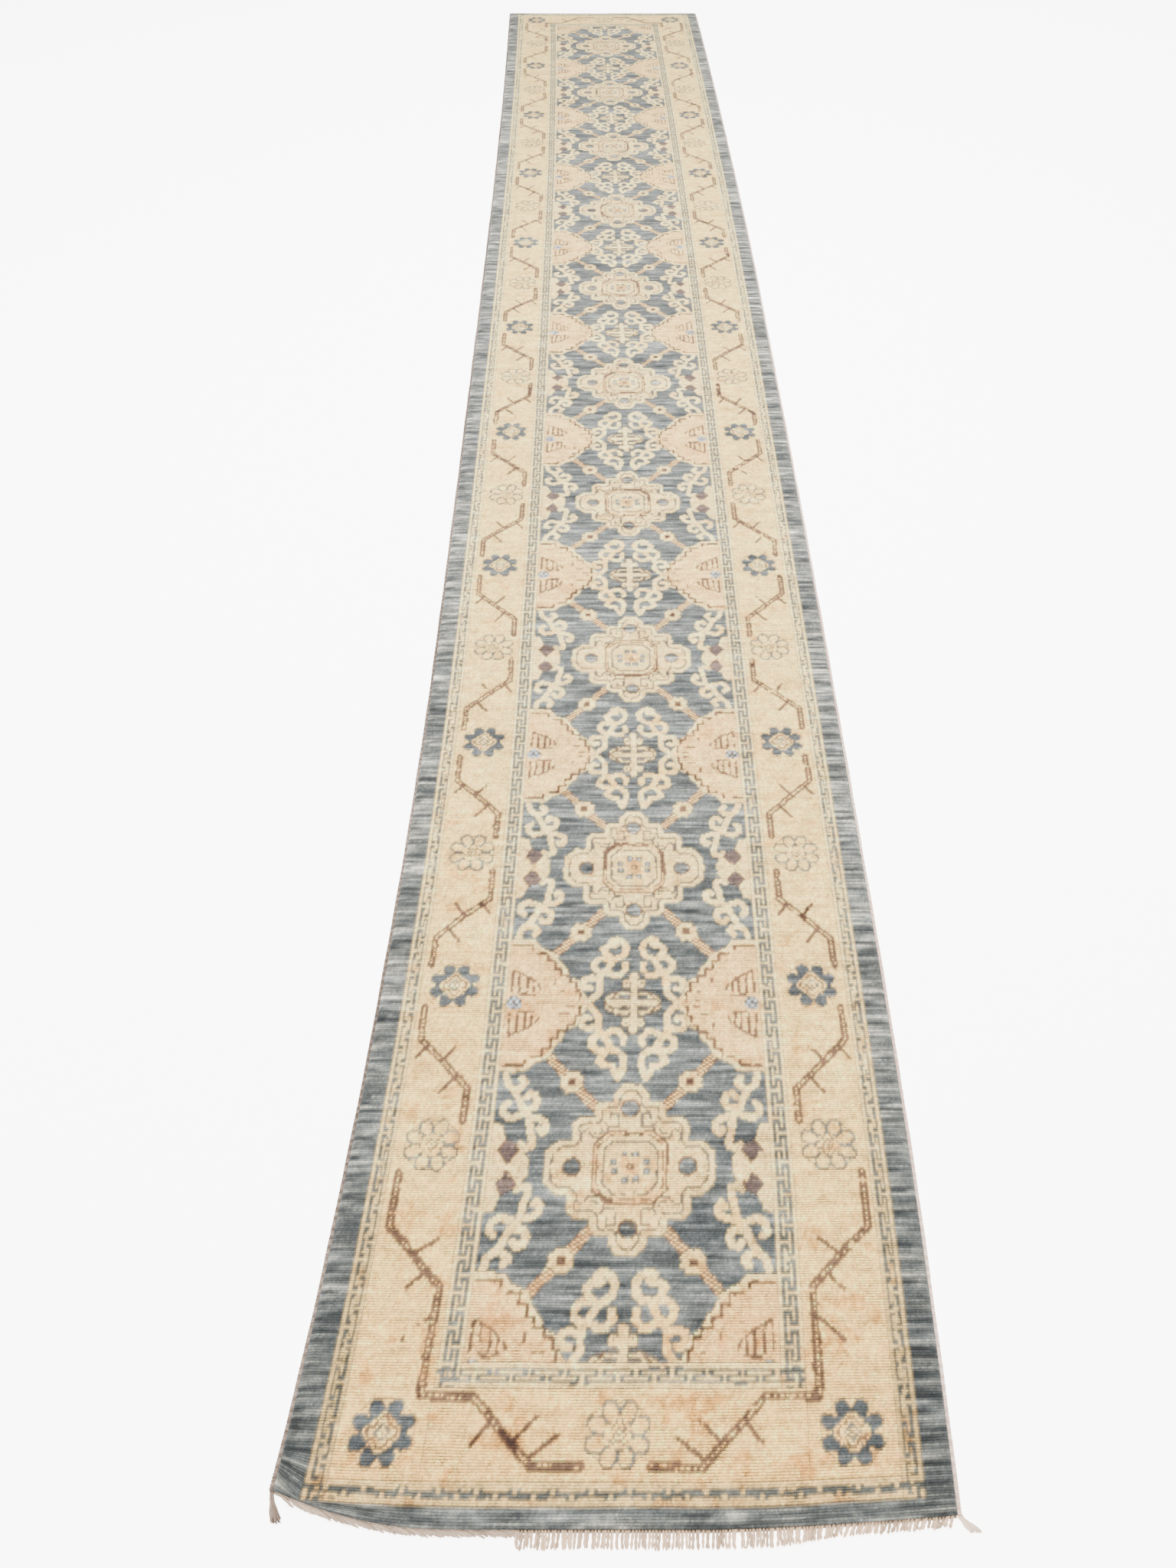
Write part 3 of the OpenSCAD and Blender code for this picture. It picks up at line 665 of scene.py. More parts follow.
tiles = (np.floor(depth / 5) + np.floor(cy / 6.6)) % 2 == 0
dye(here & (palmette < PALMETTE_R), "pale_blue")
dye(here & (palmette < PALMETTE_R) & tiles & broken(0.8), "fret_blue")
dye(here & (palmette < 2.6), "brown")
print("spandrel knots", int(here.sum()))

# %% Crosses and side buds
here = piece_masks["crosses"]
bars = to_lines(amx, acy, [[(0, 0), (0, 50)], [(0, 0), (40, 0)]])
shelves = [[(10, 17), (26, 17), (26, 12), (34, 12), (40, 7)], [(8, 31), (15, 31)]]
shelf = to_lines(amx, acy, shelves)
lobes = np.minimum(np.hypot(amx, acy - 46), np.hypot(amx - 12, acy - 36))
drawn = np.minimum(np.minimum(bars - 5.5, shelf - 2.4), lobes - 6.0)
dye(here, "field_blue")
dye(here & (drawn < 4.2) & broken(0.96), "grey")
dye(here & (drawn < 0), "ivory")
dye(here & (lobes < 2.2) & (bars > 3) & broken(0.8), "grey")
dye(here & (np.abs(amx + acy - 43) < 2.2) & (acy < 20) & broken(0.85), "brown")

here = piece_masks["side_buds"]
edge = to_path(depth, amy, bud_line)
dye(here, "blush")
dye(here & (edge < 5), "ivory")
patch = np.abs(depth - 26) / 14 + np.abs(amy - 25) / 19
dye(here & (patch < 1.2) & (tint > 0.3), "brown")
dye(here & (patch < 1), "plum")
dye(here & (np.hypot(depth - 30, my) < 9) & (tint > 0.45), "straw")
print("field drawn")

# %% [markdown]
# ## Rosettes and branches of the main border
# Blue and pale rosettes take turns down each side. A brown branch of two thin lines zigzags
# between them: past a pale rosette it runs on the side next to the field, past a blue one on the
# outer side. At the front and back it turns the corner and runs to a pale rosette in the middle.

# %% Rosettes
PETAL_AT, PETAL_LONG, PETAL_WIDE = 27.5, 13.0, 10.2
STAR_POINT = 3.0


def rosette(here, x, y, blue):
    """Eight round petals in pairs on the axes, a starred heart and a diamond in the middle."""
    turn = 2 * np.pi / LOBES
    angle = np.arctan2(y, x)
    lean = (angle % turn) - turn / 2
    reach = np.hypot(x, y)
    outward = (reach * np.cos(lean) - PETAL_AT) / PETAL_LONG
    petal = np.hypot(outward, reach * np.sin(lean) / PETAL_WIDE)
    star = reach - STAR_POINT * np.cos(4 * angle)
    diamond = np.abs(x) + np.abs(y)
    dye(here, "cream")
    if blue:
        dye(here & (petal < 1), "rosette_blue")
        dye(here & (star < 19.5), "cream")
        dye(here & (star < 16.5) & (star > 13) & broken(0.8), "brown")
        dye(here & (star < 13), "straw")
        dye(here & (diamond < 11), "fret_blue")
    else:
        dye(here & (petal > 0.8) & (petal < 1.12) & (reach > 17) & broken(0.93), "fret_blue")
        dye(here & (star > 12.5) & (star < 15) & broken(0.6), "grey")
        dye(here & (diamond < 10) & broken(0.85), "brown")
    dye(here & (diamond < 7), "ivory")
    dye(here & (diamond < 2.6), "brown")


rosette(piece_masks["blue_rosettes"], side_ru, rv, True)
rosette(piece_masks["pale_rosettes"] & at_side, side_ru, rv, False)
rosette(piece_masks["pale_rosettes"] & ~at_side, mx, DV - corner_v, False)
print("petal knots", int((yarn == yarn_names.index("rosette_blue")).sum()))

# %% Branches
OUTER_SIDE = side_edges[2] + 12
INNER_SIDE = side_edges[3] - 14
END_INNER = end_edges[3] - 9
END_OUTER = end_edges[2] + 16
START_GAP, END_GAP, KNEE = 36, 38, 88
TWIN = (1.4, 5.9)
TWIG_R, DARK_R, BEAD = 2.9, 3.4, 4
END_TURN = 500
border = (ring == 2) & ~piece_masks["blue_rosettes"] & ~piece_masks["pale_rosettes"]
bu = np.minimum(DU, RUG_W - DU)
branch = np.full(U.shape, 1e9)
twig = np.full(U.shape, 1e9)
STEP = PITCH / 2
slant = INNER_SIDE - OUTER_SIDE
last = 2 * MEDALLIONS - 2
for k in range(last + 1):
    start = FIRST + ROSETTE_LAG + k * STEP
    rows = slice(*np.searchsorted(middle_v, [start - 20, start + STEP + 60]))
    x, y = bu[rows], DV[rows]
    goes_out = k % 2 == 0
    a, b = (INNER_SIDE, OUTER_SIDE) if goes_out else (OUTER_SIDE, INNER_SIDE)
    lean = 0.75 if goes_out else -0.75
    knee = start + KNEE
    path = [(a, start + START_GAP), (a, knee), (b, knee + slant), (b, start + STEP - END_GAP)]
    if k == last:
        path[-1] = (b, RUG_L - CORNER_V - 45)
    branch[rows] = np.minimum(branch[rows], to_path(x, y, path))
    for share, side, reach in [(0.25, -1, 26), (0.55, 1, 24), (0.85, -1, 20)]:
        foot = (a + (b - a) * share, knee + slant * share)
        tip = (foot[0] + side * reach * lean, foot[1] + side * reach)
        twig[rows] = np.minimum(twig[rows], to_path(x, y, [foot, tip]))
first_v = FIRST + ROSETTE_LAG
for mirrored in (False, True):
    v = RUG_L - DV if mirrored else DV
    span = [RUG_L - END_TURN, RUG_L] if mirrored else [0, END_TURN]
    rows = slice(*np.searchsorted(middle_v, span))
    x, y = bu[rows], v[rows]
    turn = [(INNER_SIDE, 190 if mirrored else 270), (INNER_SIDE, END_INNER), (222, END_INNER)]
    turn += [(222 + END_INNER - END_OUTER, END_OUTER), (358, END_OUTER)]
    if not mirrored:
        turn = [(OUTER_SIDE, first_v - 40), (OUTER_SIDE, 351)] + turn
    branch[rows] = np.minimum(branch[rows], to_path(x, y, turn))
    for foot, tip in [
        ((248, 114), (226, 88)), ((276, 90), (302, 116)), ((296, 72), (330, 96)),
        ((140, 292), (116, 268)), ((118, 314), (146, 334)), ((157, 236), (122, 206)),
    ]:
        twig[rows] = np.minimum(twig[rows], to_path(x, y, [foot, tip]))
pair = (branch > TWIN[0]) & (branch < TWIN[1])
dye(border & pair & broken(0.93), "brown")
beads = (np.floor(DV / BEAD) + np.floor(bu / BEAD)) % 2 == 0
dye(border & (branch <= TWIN[0]) & beads & broken(0.8), "brown")
dye(border & (twig < TWIG_R) & broken(0.86), "brown")
dark = border & (np.minimum(twig, branch) < DARK_R) & (tint > 0.84)
dye(dark & broken(0.7), "dark_brown")
print("branch knots", int((border & pair).sum()))

# %% [markdown]
# ## The colour of each knot
# Hand-spun wool takes dye unevenly, so a colour drifts from one skein to the next. Weavers call
# it abrash. It shows as short level streaks, strong in the blues and faint in the creams. Each
# knot's colour is its yarn's, times a streak, a slow drift and a little noise of its own. The
# first metre is darker: partly a darker dye batch, most of all the outer band's sides, and partly
# painted shade for the dimmer light at the front end. The cream has warm worn patches that deepen
# towards the front end, which is partly painted shade too. Next, each corner of a knot takes on a
# share of its neighbours' colours, since tufts lean into each other.

# %% Abrash
def linear(colour):
    """sRGB bytes to linear light."""
    c = np.asarray(colour, float) / 255
    return np.where(c <= 0.04045, c / 12.92, ((c + 0.055) / 1.055) ** 2.4)


STREAKY = {
    "field_blue": 1.15, "band_blue": 1.6, "rosette_blue": 1.0, "fret_blue": 0.8, "grey": 0.6,
    "pale_blue": 0.35, "brown": 0.5, "dark_brown": 0.5, "plum": 0.6,
}
CALM = 0.24
SPECK, CALM_SPECK = 0.20, 0.21
SOFT = 0.55
palette = np.array([linear(YARNS[name]) for name in yarn_names])
depth_of = np.array([STREAKY.get(name, CALM) for name in yarn_names])[yarn]
streaky = depth_of > CALM
streak = 0.68 * patchy(ROWS, COLS, 1, 22) + 0.38 * patchy(ROWS, COLS, 2, 9)
skein = 0.22 * patchy(ROWS, COLS, 16, 190) + 0.22 * patchy(ROWS, COLS, 5, 60)
rare = -0.75 * smooth((patchy(ROWS, COLS, 1, 22) - 0.62) / 0.2)
blots = patchy(ROWS, COLS, 7, 10) + 0.5 * patchy(ROWS, COLS, 2, 3)
# Worn patches in the cream, deeper towards the front end: partly wear, partly painted shade for
# the dimmer light at the front.
worn_and_shade = -0.58 * smooth((blots - 0.35) / 0.7)
worn_and_shade = np.where(streaky, 0, worn_and_shade * (0.35 + 0.65 * np.exp(-V / 900)))
# Darker towards the front end: a darker dye batch, strongest in the outer band and outer fret, and
# partly painted shade for the dimmer light at the front.
dark_sides = -0.9 * np.exp(-V / 450) * (0.35 + 0.65 * smooth(V / 120))
front_dye_and_shade = -0.25 * np.exp(-V / 900) + np.where(ring <= 1, dark_sides, 0)
front_dye_and_shade = front_dye_and_shade * np.where(streaky, 1, 0.8)
speck = np.where(streaky, SPECK, CALM_SPECK) * rng.normal(0, 1, (ROWS, COLS))
light = np.exp(depth_of * (streak + skein + rare) + front_dye_and_shade + speck + worn_and_shade)
warm = 1 + 0.03 * patchy(ROWS, COLS, 5, 40) + 0.02 * rng.normal(0, 1, (ROWS, COLS))
warm = warm * light ** (0.04 * depth_of) * np.exp(-0.35 * worn_and_shade)
warm = warm * (1 + np.where(streaky, 0, 0.13) * np.exp(-V / 400))
knot_colour = palette[yarn] * light[..., None]
knot_colour[..., 0] *= warm
knot_colour[..., 2] /= warm
knot_colour = np.clip(knot_colour, 0.004, 0.95)
around = np.pad(knot_colour, ((1, 1), (1, 1), (0, 0)), mode="edge")
corner_colour = (around[:-1, :-1] + around[:-1, 1:] + around[1:, :-1] + around[1:, 1:]) / 4
print("mean colour of the knots", knot_colour.mean((0, 1)).round(3))

# %% [markdown]
# ## Finishes
# Every finish is a small node tree. A class wraps a socket, so that shader maths reads like
# ordinary sums, and one method adds any other node.

# %% Shader maths as Python sums
class Wire:
    """A socket: each sum on it adds one Math node."""

    def __init__(self, finish, socket):
        self.finish, self.socket = finish, socket

    def sum(self, operation, a, b):
        return self.finish.add("ShaderNodeMath", {"operation": operation}, {0: a, 1: b})

    def __add__(self, other):
        return self.sum("ADD", self, other)

    def __sub__(self, other):
        return self.sum("SUBTRACT", self, other)

    def __rsub__(self, other):
        return self.sum("SUBTRACT", other, self)

    def __mul__(self, other):
        return self.sum("MULTIPLY", self, other)

    __radd__ = __add__
    __rmul__ = __mul__


class Finish:
    """A material with its Principled shader, and one method that adds a node to it."""

    def __init__(self, name):
        self.material = bpy.data.materials.new(name)
        self.material.use_nodes = True
        self.tree = self.material.node_tree
        self.shader = self.tree.nodes["Principled BSDF"]

    def add(self, kind, settings=None, sockets=None, out=0):
        node = self.tree.nodes.new(kind)
        for name, value in (settings or {}).items():
            setattr(node, name, value)
        self.put(node, sockets or {})
        return Wire(self, node.outputs[out])

    def put(self, node, sockets):
        for key, value in sockets.items():
            if isinstance(value, Wire):
                self.tree.links.new(value.socket, node.inputs[key])
            else:
                node.inputs[key].default_value = value

    def finish(self, **sockets):
        self.put(self.shader, {k.replace("_", " "): v for k, v in sockets.items()})
        return self.material


def noise(f, place, scale, detail):
    """Soft noise, scale cells to the metre."""
    return f.add(
        "ShaderNodeTexNoise", sockets={"Vector": place, "Scale": scale, "Detail": detail}
    )


def shaded(f, colour, shade):
    """The colour times a grey shade."""
    grey = f.add("ShaderNodeCombineXYZ", sockets={0: shade, 1: shade, 2: shade})
    settings = {"data_type": "RGBA", "blend_type": "MULTIPLY"}
    return f.add("ShaderNodeMix", settings, {0: 1.0, 6: colour, 7: grey}, out=2)


def bumped(f, strength, distance, height):
    """Tilts the light as if the surface rose by height times distance, in metres."""
    sockets = {"Strength": strength, "Distance": distance, "Height": height}
    return f.add("ShaderNodeBump", sockets=sockets)


print("shader tools ready")

# %% [markdown]
# Wool pile is matt and soft. Seen from above one looks into the cut ends of the tufts; the
# furrows between rows and columns are darkened in the base colour, which is painted shade, and
# bumped. Seen at a low angle its fine hairs catch the light, which the sheen gives. The furrows
# follow a map that counts knots, so they run exactly between the knots wherever the rug bends.

# %% Wool pile
def wool(name, sheen, rough, furrow_shade):
    f = Finish(name)
    knots = f.add("ShaderNodeUVMap", {"uv_map": "knots"})
    colour = f.add("ShaderNodeAttribute", {"attribute_name": "knot"})
    place = f.add("ShaderNodeTexCoord", out="Object")
    split = f.add("ShaderNodeSeparateXYZ", sockets={0: knots})
    count_u, count_v = split, Wire(f, split.socket.node.outputs[1])

    def furrow(count, sharp):
        """0 in the middle of a knot and 1 at its edge: |2 frac - 1| to a power."""
        share = f.add("ShaderNodeMath", {"operation": "FRACT"}, {0: count})
        off = f.add("ShaderNodeMath", {"operation": "ABSOLUTE"}, {0: share * 2.0 - 1.0})
        return f.add("ShaderNodeMath", {"operation": "POWER"}, {0: off, 1: sharp})

    wobble = noise(f, place, 380.0, 1.0)
    patch = noise(f, place, 55.0, 2.0)
    across = furrow(count_u + wobble * 0.8 - 0.4, 3.0) * (0.4 + patch * 1.1)
    along = furrow(count_v + wobble * 0.7 - 0.35, 2.2) * (patch * 2.1 - 0.1)
    hair = noise(f, place, 950.0, 2.0)
    tuft = noise(f, place, 260.0, 3.0)
    drift = noise(f, place, 9.0, 2.0)
    # Painted shade: the furrows darken the base colour. Hair, tuft and drift are the wool's own
    # uneven tone.
    shade = 1.0 - along * (0.52 * furrow_shade) - across * (0.13 * furrow_shade)
    shade = shade * (0.40 + hair * 0.68 + tuft * 0.70) * (0.955 + drift * 0.11)
    height = hair * 0.25 + tuft * 0.55 - along * 0.75 - across * 0.45
    return f.finish(
        Base_Color=shaded(f, colour, shade), Roughness=rough + tuft * 0.12,
        Normal=bumped(f, 0.55, 1.1 * MM, height), Sheen_Weight=sheen,
        Sheen_Roughness=0.42, Sheen_Tint=(1.0, 0.97, 0.92, 1.0), Specular_IOR_Level=0.22,
    )


WOOL_LOOKS = {
    "blue_wool": (0.16, 0.80, 1.0), "fret_wool": (0.18, 0.82, 1.1),
    "border_wool": (0.20, 0.84, 1.2), "field_wool": (0.16, 0.80, 1.0),
    "medallion_wool": (0.20, 0.84, 1.2), "spandrel_wool": (0.20, 0.85, 1.2),
    "ivory_wool": (0.20, 0.84, 1.2),
}
wools = {slot: wool(slot, *look) for slot, look in WOOL_LOOKS.items()}
print("wool finishes", len(wools))

# %% [markdown]
# ## From a mask of knots to a block of pile
# Every area of pile is a closed block: one face for each knot on top, walls round its outline down
# to the foundation, and a plain underside. All blocks take their corners from the one grid, so
# they meet face to face like the real tufts. A second map folds the long areas into a square, so
# that a baked picture gives every knot an equal share of its room. The blue field is one area of
# very many knots, so it is made as a front and a back half.

# %% Blocks of pile
def below(edges, points):
    """Triangles that close the walls' lower rim, turned to face down."""
    bm = bmesh.new()
    corners = [bm.verts.new(p) for p in points]
    for a, b in edges:
        bm.edges.new((corners[a], corners[b]))
    bm.verts.index_update()
    made = bmesh.ops.triangle_fill(bm, edges=bm.edges, normal=(0, 0, -1))["geom"]
    faces = [[v.index for v in g.verts] for g in made if isinstance(g, bmesh.types.BMFace)]
    bm.free()
    faces = np.array(faces)
    a, b, c = (points[faces[:, k], :2] for k in range(3))
    up = (b[:, 0] - a[:, 0]) * (c[:, 1] - a[:, 1]) - (b[:, 1] - a[:, 1]) * (c[:, 0] - a[:, 0]) > 0
    faces[up] = faces[up, ::-1]
    return faces


def folded(r, c, corner_r, corner_c, used_r, used_c):
    """Folds the rows in use into n columns of equal length: n is the root of length / width."""
    wide, long = len(used_c) + 3, len(used_r) + 3
    n = max(1, round(np.sqrt(long * KNOT_L / (wide * KNOT_W))))
    fold_len = int(np.ceil(long / n)) + 1
    row, col = np.searchsorted(used_r, r), np.searchsorted(used_c, c)
    fold = row // fold_len
    x = fold * wide + col + 1.5 + (corner_c - c)
    y = row - fold * fold_len + 1.5 + (corner_r - r)
    return np.stack([x / (n * wide), y / (fold_len + 3)], axis=-1)


def new_mesh(name, points, faces, uvs, colours, material):
    """A mesh object that rides the body, from points, lists of faces, maps and corner colours.

    Only the first list of faces is smooth, so that walls and caps don't tilt the shading of the
    skin where they meet it.
    """
    sizes = np.concatenate([np.full(len(f), f.shape[1]) for f in faces])
    corners = np.concatenate([f.ravel() for f in faces])
    mesh = bpy.data.meshes.new(name)
    mesh.vertices.add(len(points))
    mesh.vertices.foreach_set("co", np.asarray(points, np.float32).ravel())
    mesh.loops.add(len(corners))
    mesh.loops.foreach_set("vertex_index", corners.astype(np.int32))
    mesh.polygons.add(len(sizes))
    starts = np.concatenate([[0], np.cumsum(sizes)[:-1]])
    mesh.polygons.foreach_set("loop_start", starts.astype(np.int32))
    mesh.polygons.foreach_set("use_smooth", np.arange(len(sizes)) < len(faces[0]))
    mesh.update(calc_edges=True)
    for layer_name, uv in uvs.items():
        layer = mesh.uv_layers.new(name=layer_name, do_init=False)
        layer.uv.foreach_set("vector", np.asarray(uv, np.float32).ravel())
    if colours is not None:
        layer = mesh.color_attributes.new("knot", "FLOAT_COLOR", "CORNER")
        rgba = np.concatenate([colours, np.ones((len(colours), 1))], axis=1)
        layer.data.foreach_set("color", rgba.astype(np.float32).ravel())
    mesh.materials.append(material)
    if mesh.validate():
        print(name, "had faults that were mended")
    obj = bpy.data.objects.new(name, mesh)
    bpy.context.scene.collection.objects.link(obj)
    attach(obj, "root")
    return obj


UNDER_MAP = 0.008
WALL_MAP = 0.45
WALL_SHADE = 0.8


def pile_block(name, mask, node, slot):
    """A closed block of pile: the knots' tops, walls round them and a cap below."""
    r, c = np.nonzero(mask)
    wide = COLS + 1
    used_r, used_c = np.unique(r), np.unique(c)
    turns = [(0, 0), (0, 1), (1, 1), (1, 0)]
    quad_r = np.stack([r + a for a, b in turns], axis=1)
    quad_c = np.stack([c + b for a, b in turns], axis=1)
    top = quad_r * wide + quad_c
    padded = np.pad(mask, 1)
    sides = {(-1, 0): (0, 1), (0, 1): (1, 2), (1, 0): (2, 3), (0, -1): (3, 0)}
    walls = [
        (~padded[r + 1 + dr, c + 1 + dc], i, j, dr, dc) for (dr, dc), (i, j) in sides.items()
    ]
    wall_top = np.concatenate([top[bare][:, [i, j]] for bare, i, j, _, _ in walls])
    rim_ids, rim_edges = np.unique(wall_top, return_inverse=True)
    rim_edges = rim_edges.reshape(wall_top.shape)
    top_ids, top_faces = np.unique(top, return_inverse=True)
    top_faces = top_faces.reshape(top.shape)
    lower = low_points[rim_ids]
    points = np.concatenate([top_points[top_ids], lower])
    n_top = len(top_ids)
    wall_upper = np.searchsorted(top_ids, wall_top)
    wall_faces = np.concatenate([wall_upper[:, ::-1], rim_edges + n_top], axis=1)
    under = below(rim_edges, lower)
    under_faces = under + n_top

    top_uv = folded(r[:, None], c[:, None], quad_r, quad_c, used_r, used_c)
    top_count = np.stack([quad_c, quad_r], axis=-1).astype(float)
    wall_uv, wall_count, wall_owner = [], [], []
    for bare, i, j, dr, dc in walls:
        wr, wc = (q[bare][:, [j, i, i, j]].astype(float) for q in (quad_r, quad_c))
        wr[:, 2:] += WALL_MAP * dr
        wc[:, 2:] += WALL_MAP * dc
        wall_uv.append(folded(r[bare][:, None], c[bare][:, None], wr, wc, used_r, used_c))
        wall_count.append(np.stack([wc, wr], axis=-1))
        wall_owner.append(np.nonzero(bare)[0])
    wall_owner = np.concatenate(wall_owner)
    spread = lower[under][:, :, :2] - lower[:, :2].min(0)
    under_uv = spread / np.ptp(lower[:, :2], axis=0) * UNDER_MAP
    bake_map = [a.reshape(-1, 2) for a in (top_uv, np.concatenate(wall_uv), under_uv)]
    count_map = [a.reshape(-1, 2) for a in (top_count, np.concatenate(wall_count))]
    count_map.append(np.full((under.size, 2), 0.5))
    shades = knot_colour[r, c]
    colours = np.concatenate([
        (SOFT * corner_colour[quad_r, quad_c] + (1 - SOFT) * shades[:, None]).reshape(-1, 3),
        np.repeat(shades[wall_owner] * WALL_SHADE, 4, axis=0),
        np.tile(palette[yarn_names.index("grey")], (under.size, 1)),
    ])
    uvs = {"OFBake": np.concatenate(bake_map), "knots": np.concatenate(count_map)}
    block = new_mesh(
        name, points, [top_faces, wall_faces, under_faces], uvs, colours, wools[slot]
    )
    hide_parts(node)
    triangles = 2 * len(top) + 2 * len(wall_faces) + len(under)
    print(f"{name:20s} knots {len(top):6d}  triangles {triangles:6d}")


PILE_SLOTS = {
    "outer_band": "blue_wool", "outer_fret": "fret_wool", "main_border": "border_wool",
    "inner_fret": "fret_wool", "medallions": "medallion_wool", "spandrels": "spandrel_wool",
    "crosses": "ivory_wool", "side_buds": "ivory_wool", "arm_flowers": "ivory_wool",
    "blue_rosettes": "blue_wool", "pale_rosettes": "ivory_wool",
}
for name, mask in piece_masks.items():
    if name == "field_pile":
        continue
    slot = PILE_SLOTS.get(name) or PILE_SLOTS[name.rsplit("_", 1)[0]]
    pile_block(name + "_knots", mask, name, slot)
in_front_half = np.arange(ROWS)[:, None] < ROWS // 2
for part, rows in {"front": in_front_half, "back": ~in_front_half}.items():
    half = piece_masks["field_pile"] & rows
    pile_block("field_" + part + "_knots", half, "field_pile", "field_wool")

# %% [markdown]
# ## The foundation and the end webs
# The foundation is plain cotton cloth, warps along and wefts across. It is one sheet under all the
# knots, and its underside shows the ribs of the weft. At each end a narrow woven web holds the
# last row. Both are closed slabs: a grid of points above, the same below, and a wall round them.

# %% Cotton cloth
def cotton(name, colour, rib, scale):
    """Woven ribs: sine waves along and across the cloth, and the yarn's own fuzz."""
    f = Finish(name)
    place = f.add("ShaderNodeTexCoord", out="Object")
    waves = [
        f.add(
            "ShaderNodeTexWave", {"bands_direction": way, "wave_profile": "SIN"},
            {"Vector": place, "Scale": scale * rate, "Distortion": 1.5, "Detail": 1.0},
        )
        for way, rate in (("Y", 1.0), ("X", 0.7))
    ]
    fuzz = noise(f, place, 500.0, 3.0)
    # Painted shade: the troughs between the ribs are darker in the colour. The fuzz is the yarn's
    # own tone.
    shade = (0.72 + waves[0] * 0.16 + waves[1] * 0.10) * (0.85 + fuzz * 0.3)
    height = waves[0] + waves[1] * 0.5 + fuzz * 0.5
    return f.finish(
        Base_Color=shaded(f, (*linear(colour), 1.0), shade), Roughness=0.86 + fuzz * 0.1,
        Normal=bumped(f, 0.6, rib * MM, height), Specular_IOR_Level=0.25, Sheen_Weight=0.1,
    )


def slab(name, upper, lower, material, node):
    """A closed slab between two grids of points: tops, bottoms and the wall round them."""
    rows, cols = upper.shape[:2]
    ids = np.arange(rows * cols).reshape(rows, cols)
    quads = np.stack([ids[:-1, :-1], ids[:-1, 1:], ids[1:, 1:], ids[1:, :-1]], -1).reshape(-1, 4)
    low = quads[:, ::-1] + rows * cols
    rim = np.concatenate([ids[0, :-1], ids[:-1, -1], ids[-1, :0:-1], ids[:0:-1, 0]])
    after = np.roll(rim, -1)
    wall = np.stack([rim, rim + rows * cols, after + rows * cols, after], -1)
    points = np.concatenate([upper.reshape(-1, 3), lower.reshape(-1, 3)])
    piece = new_mesh(name, points, [quads, low, wall], {}, None, material)
    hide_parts(node)
    return piece


web_cotton = cotton("cotton_web", (214, 196, 168), 0.8, 210.0)
slab_u, slab_v = np.meshgrid(np.linspace(us[0], us[-1], 34), np.linspace(0, RUG_L, 300))
slab_v = drawn_back(slab_u, slab_v)
foundation = slab(
    "foundation_cloth", lay(slab_u, slab_v, FOUNDATION_T), lay(slab_u, slab_v, 0.0),
    web_cotton, "foundation",
)
WEB_W = 3.0
WEB_T = FOUNDATION_T + 0.2
WEAVE = 0.25
web_u, web_off = np.meshgrid(stations(us[[0, -1]], KNOT_W), np.linspace(0, WEB_W, 4))
weave = WEAVE * np.sin(np.pi * web_u / KNOT_W) * np.cos(np.pi * web_off / WEB_W * 3)
for end, node in ((-1, "end_web_front"), (1, "end_web_back")):
    # The two webs' rows run in opposite ways, so the front's are turned round to keep its top up.
    web_v = cut(web_u) - web_off if end < 0 else RUG_L + web_off
    upper, lower = (lay(web_u, web_v, z)[::end] for z in (WEB_T + weave, 0.0))
    web = slab(node + "_cloth", upper, lower, web_cotton, node)
print("foundation", len(foundation.data.polygons), "faces")

# %% [markdown]
# ## Tubes
# Selvedge, fringe and tassels are all yarn: a section carried along a path. The section of a
# plied cord isn't round: it has two lobes, and they turn along the cord, which gives the twist as
# real shape. Hundreds of cords are swept at once as one array.

# %% Swept cords
def cords(paths, radius, turns, sides, lobes):
    """Carries a lobed section along many paths: r (1 + lobes cos 2(a - turn)), turning as it goes.

    paths is (count, rings, 3); radius is (count, rings). Each ring stands square to its path.
    """
    count, rings = paths.shape[:2]
    ahead = np.gradient(paths, axis=1)
    ahead /= np.linalg.norm(ahead, axis=-1, keepdims=True) + 1e-12
    aside = np.cross(ahead, [0.0, 0.0, 1.0])
    aside /= np.linalg.norm(aside, axis=-1, keepdims=True) + 1e-12
    above = np.cross(aside, ahead)
    angle = np.arange(sides) * 2 * np.pi / sides
    spin = np.linspace(0, 1, rings)[None, :, None] * np.asarray(turns)[..., None, None] * 2 * np.pi
    reach = radius[..., None] * (1 + lobes * np.cos(2 * (angle - spin)))
    ring = reach[..., None] * (
        np.cos(angle)[:, None] * aside[..., None, :] + np.sin(angle)[:, None] * above[..., None, :]
    )
    points = (paths[:, :, None, :] + ring).reshape(-1, 3)
    ids = np.arange(count * rings * sides).reshape(count, rings, sides)
    after = np.roll(ids, -1, axis=2)
    skin = np.stack([ids[:, :-1], after[:, :-1], after[:, 1:], ids[:, 1:]], -1).reshape(-1, 4)
    faces = [skin, ids[:, 0, ::-1], ids[:, -1]]
    return points, faces


def cord_maps(faces, rings, sides):
    """A map along and round each cord: u counts the sides and v the rings."""
    maps = []
    for f in faces:
        ring_no, side_no = (f // sides) % rings, f % sides
        if f.shape[1] == 4 and len(f) > 4:
            wrap = side_no.max(axis=1, keepdims=True) - side_no > sides / 2
            side_no = side_no + wrap * sides
        maps.append(np.stack([side_no / sides, ring_no.astype(float)], -1).reshape(-1, 2))
    return np.concatenate(maps)


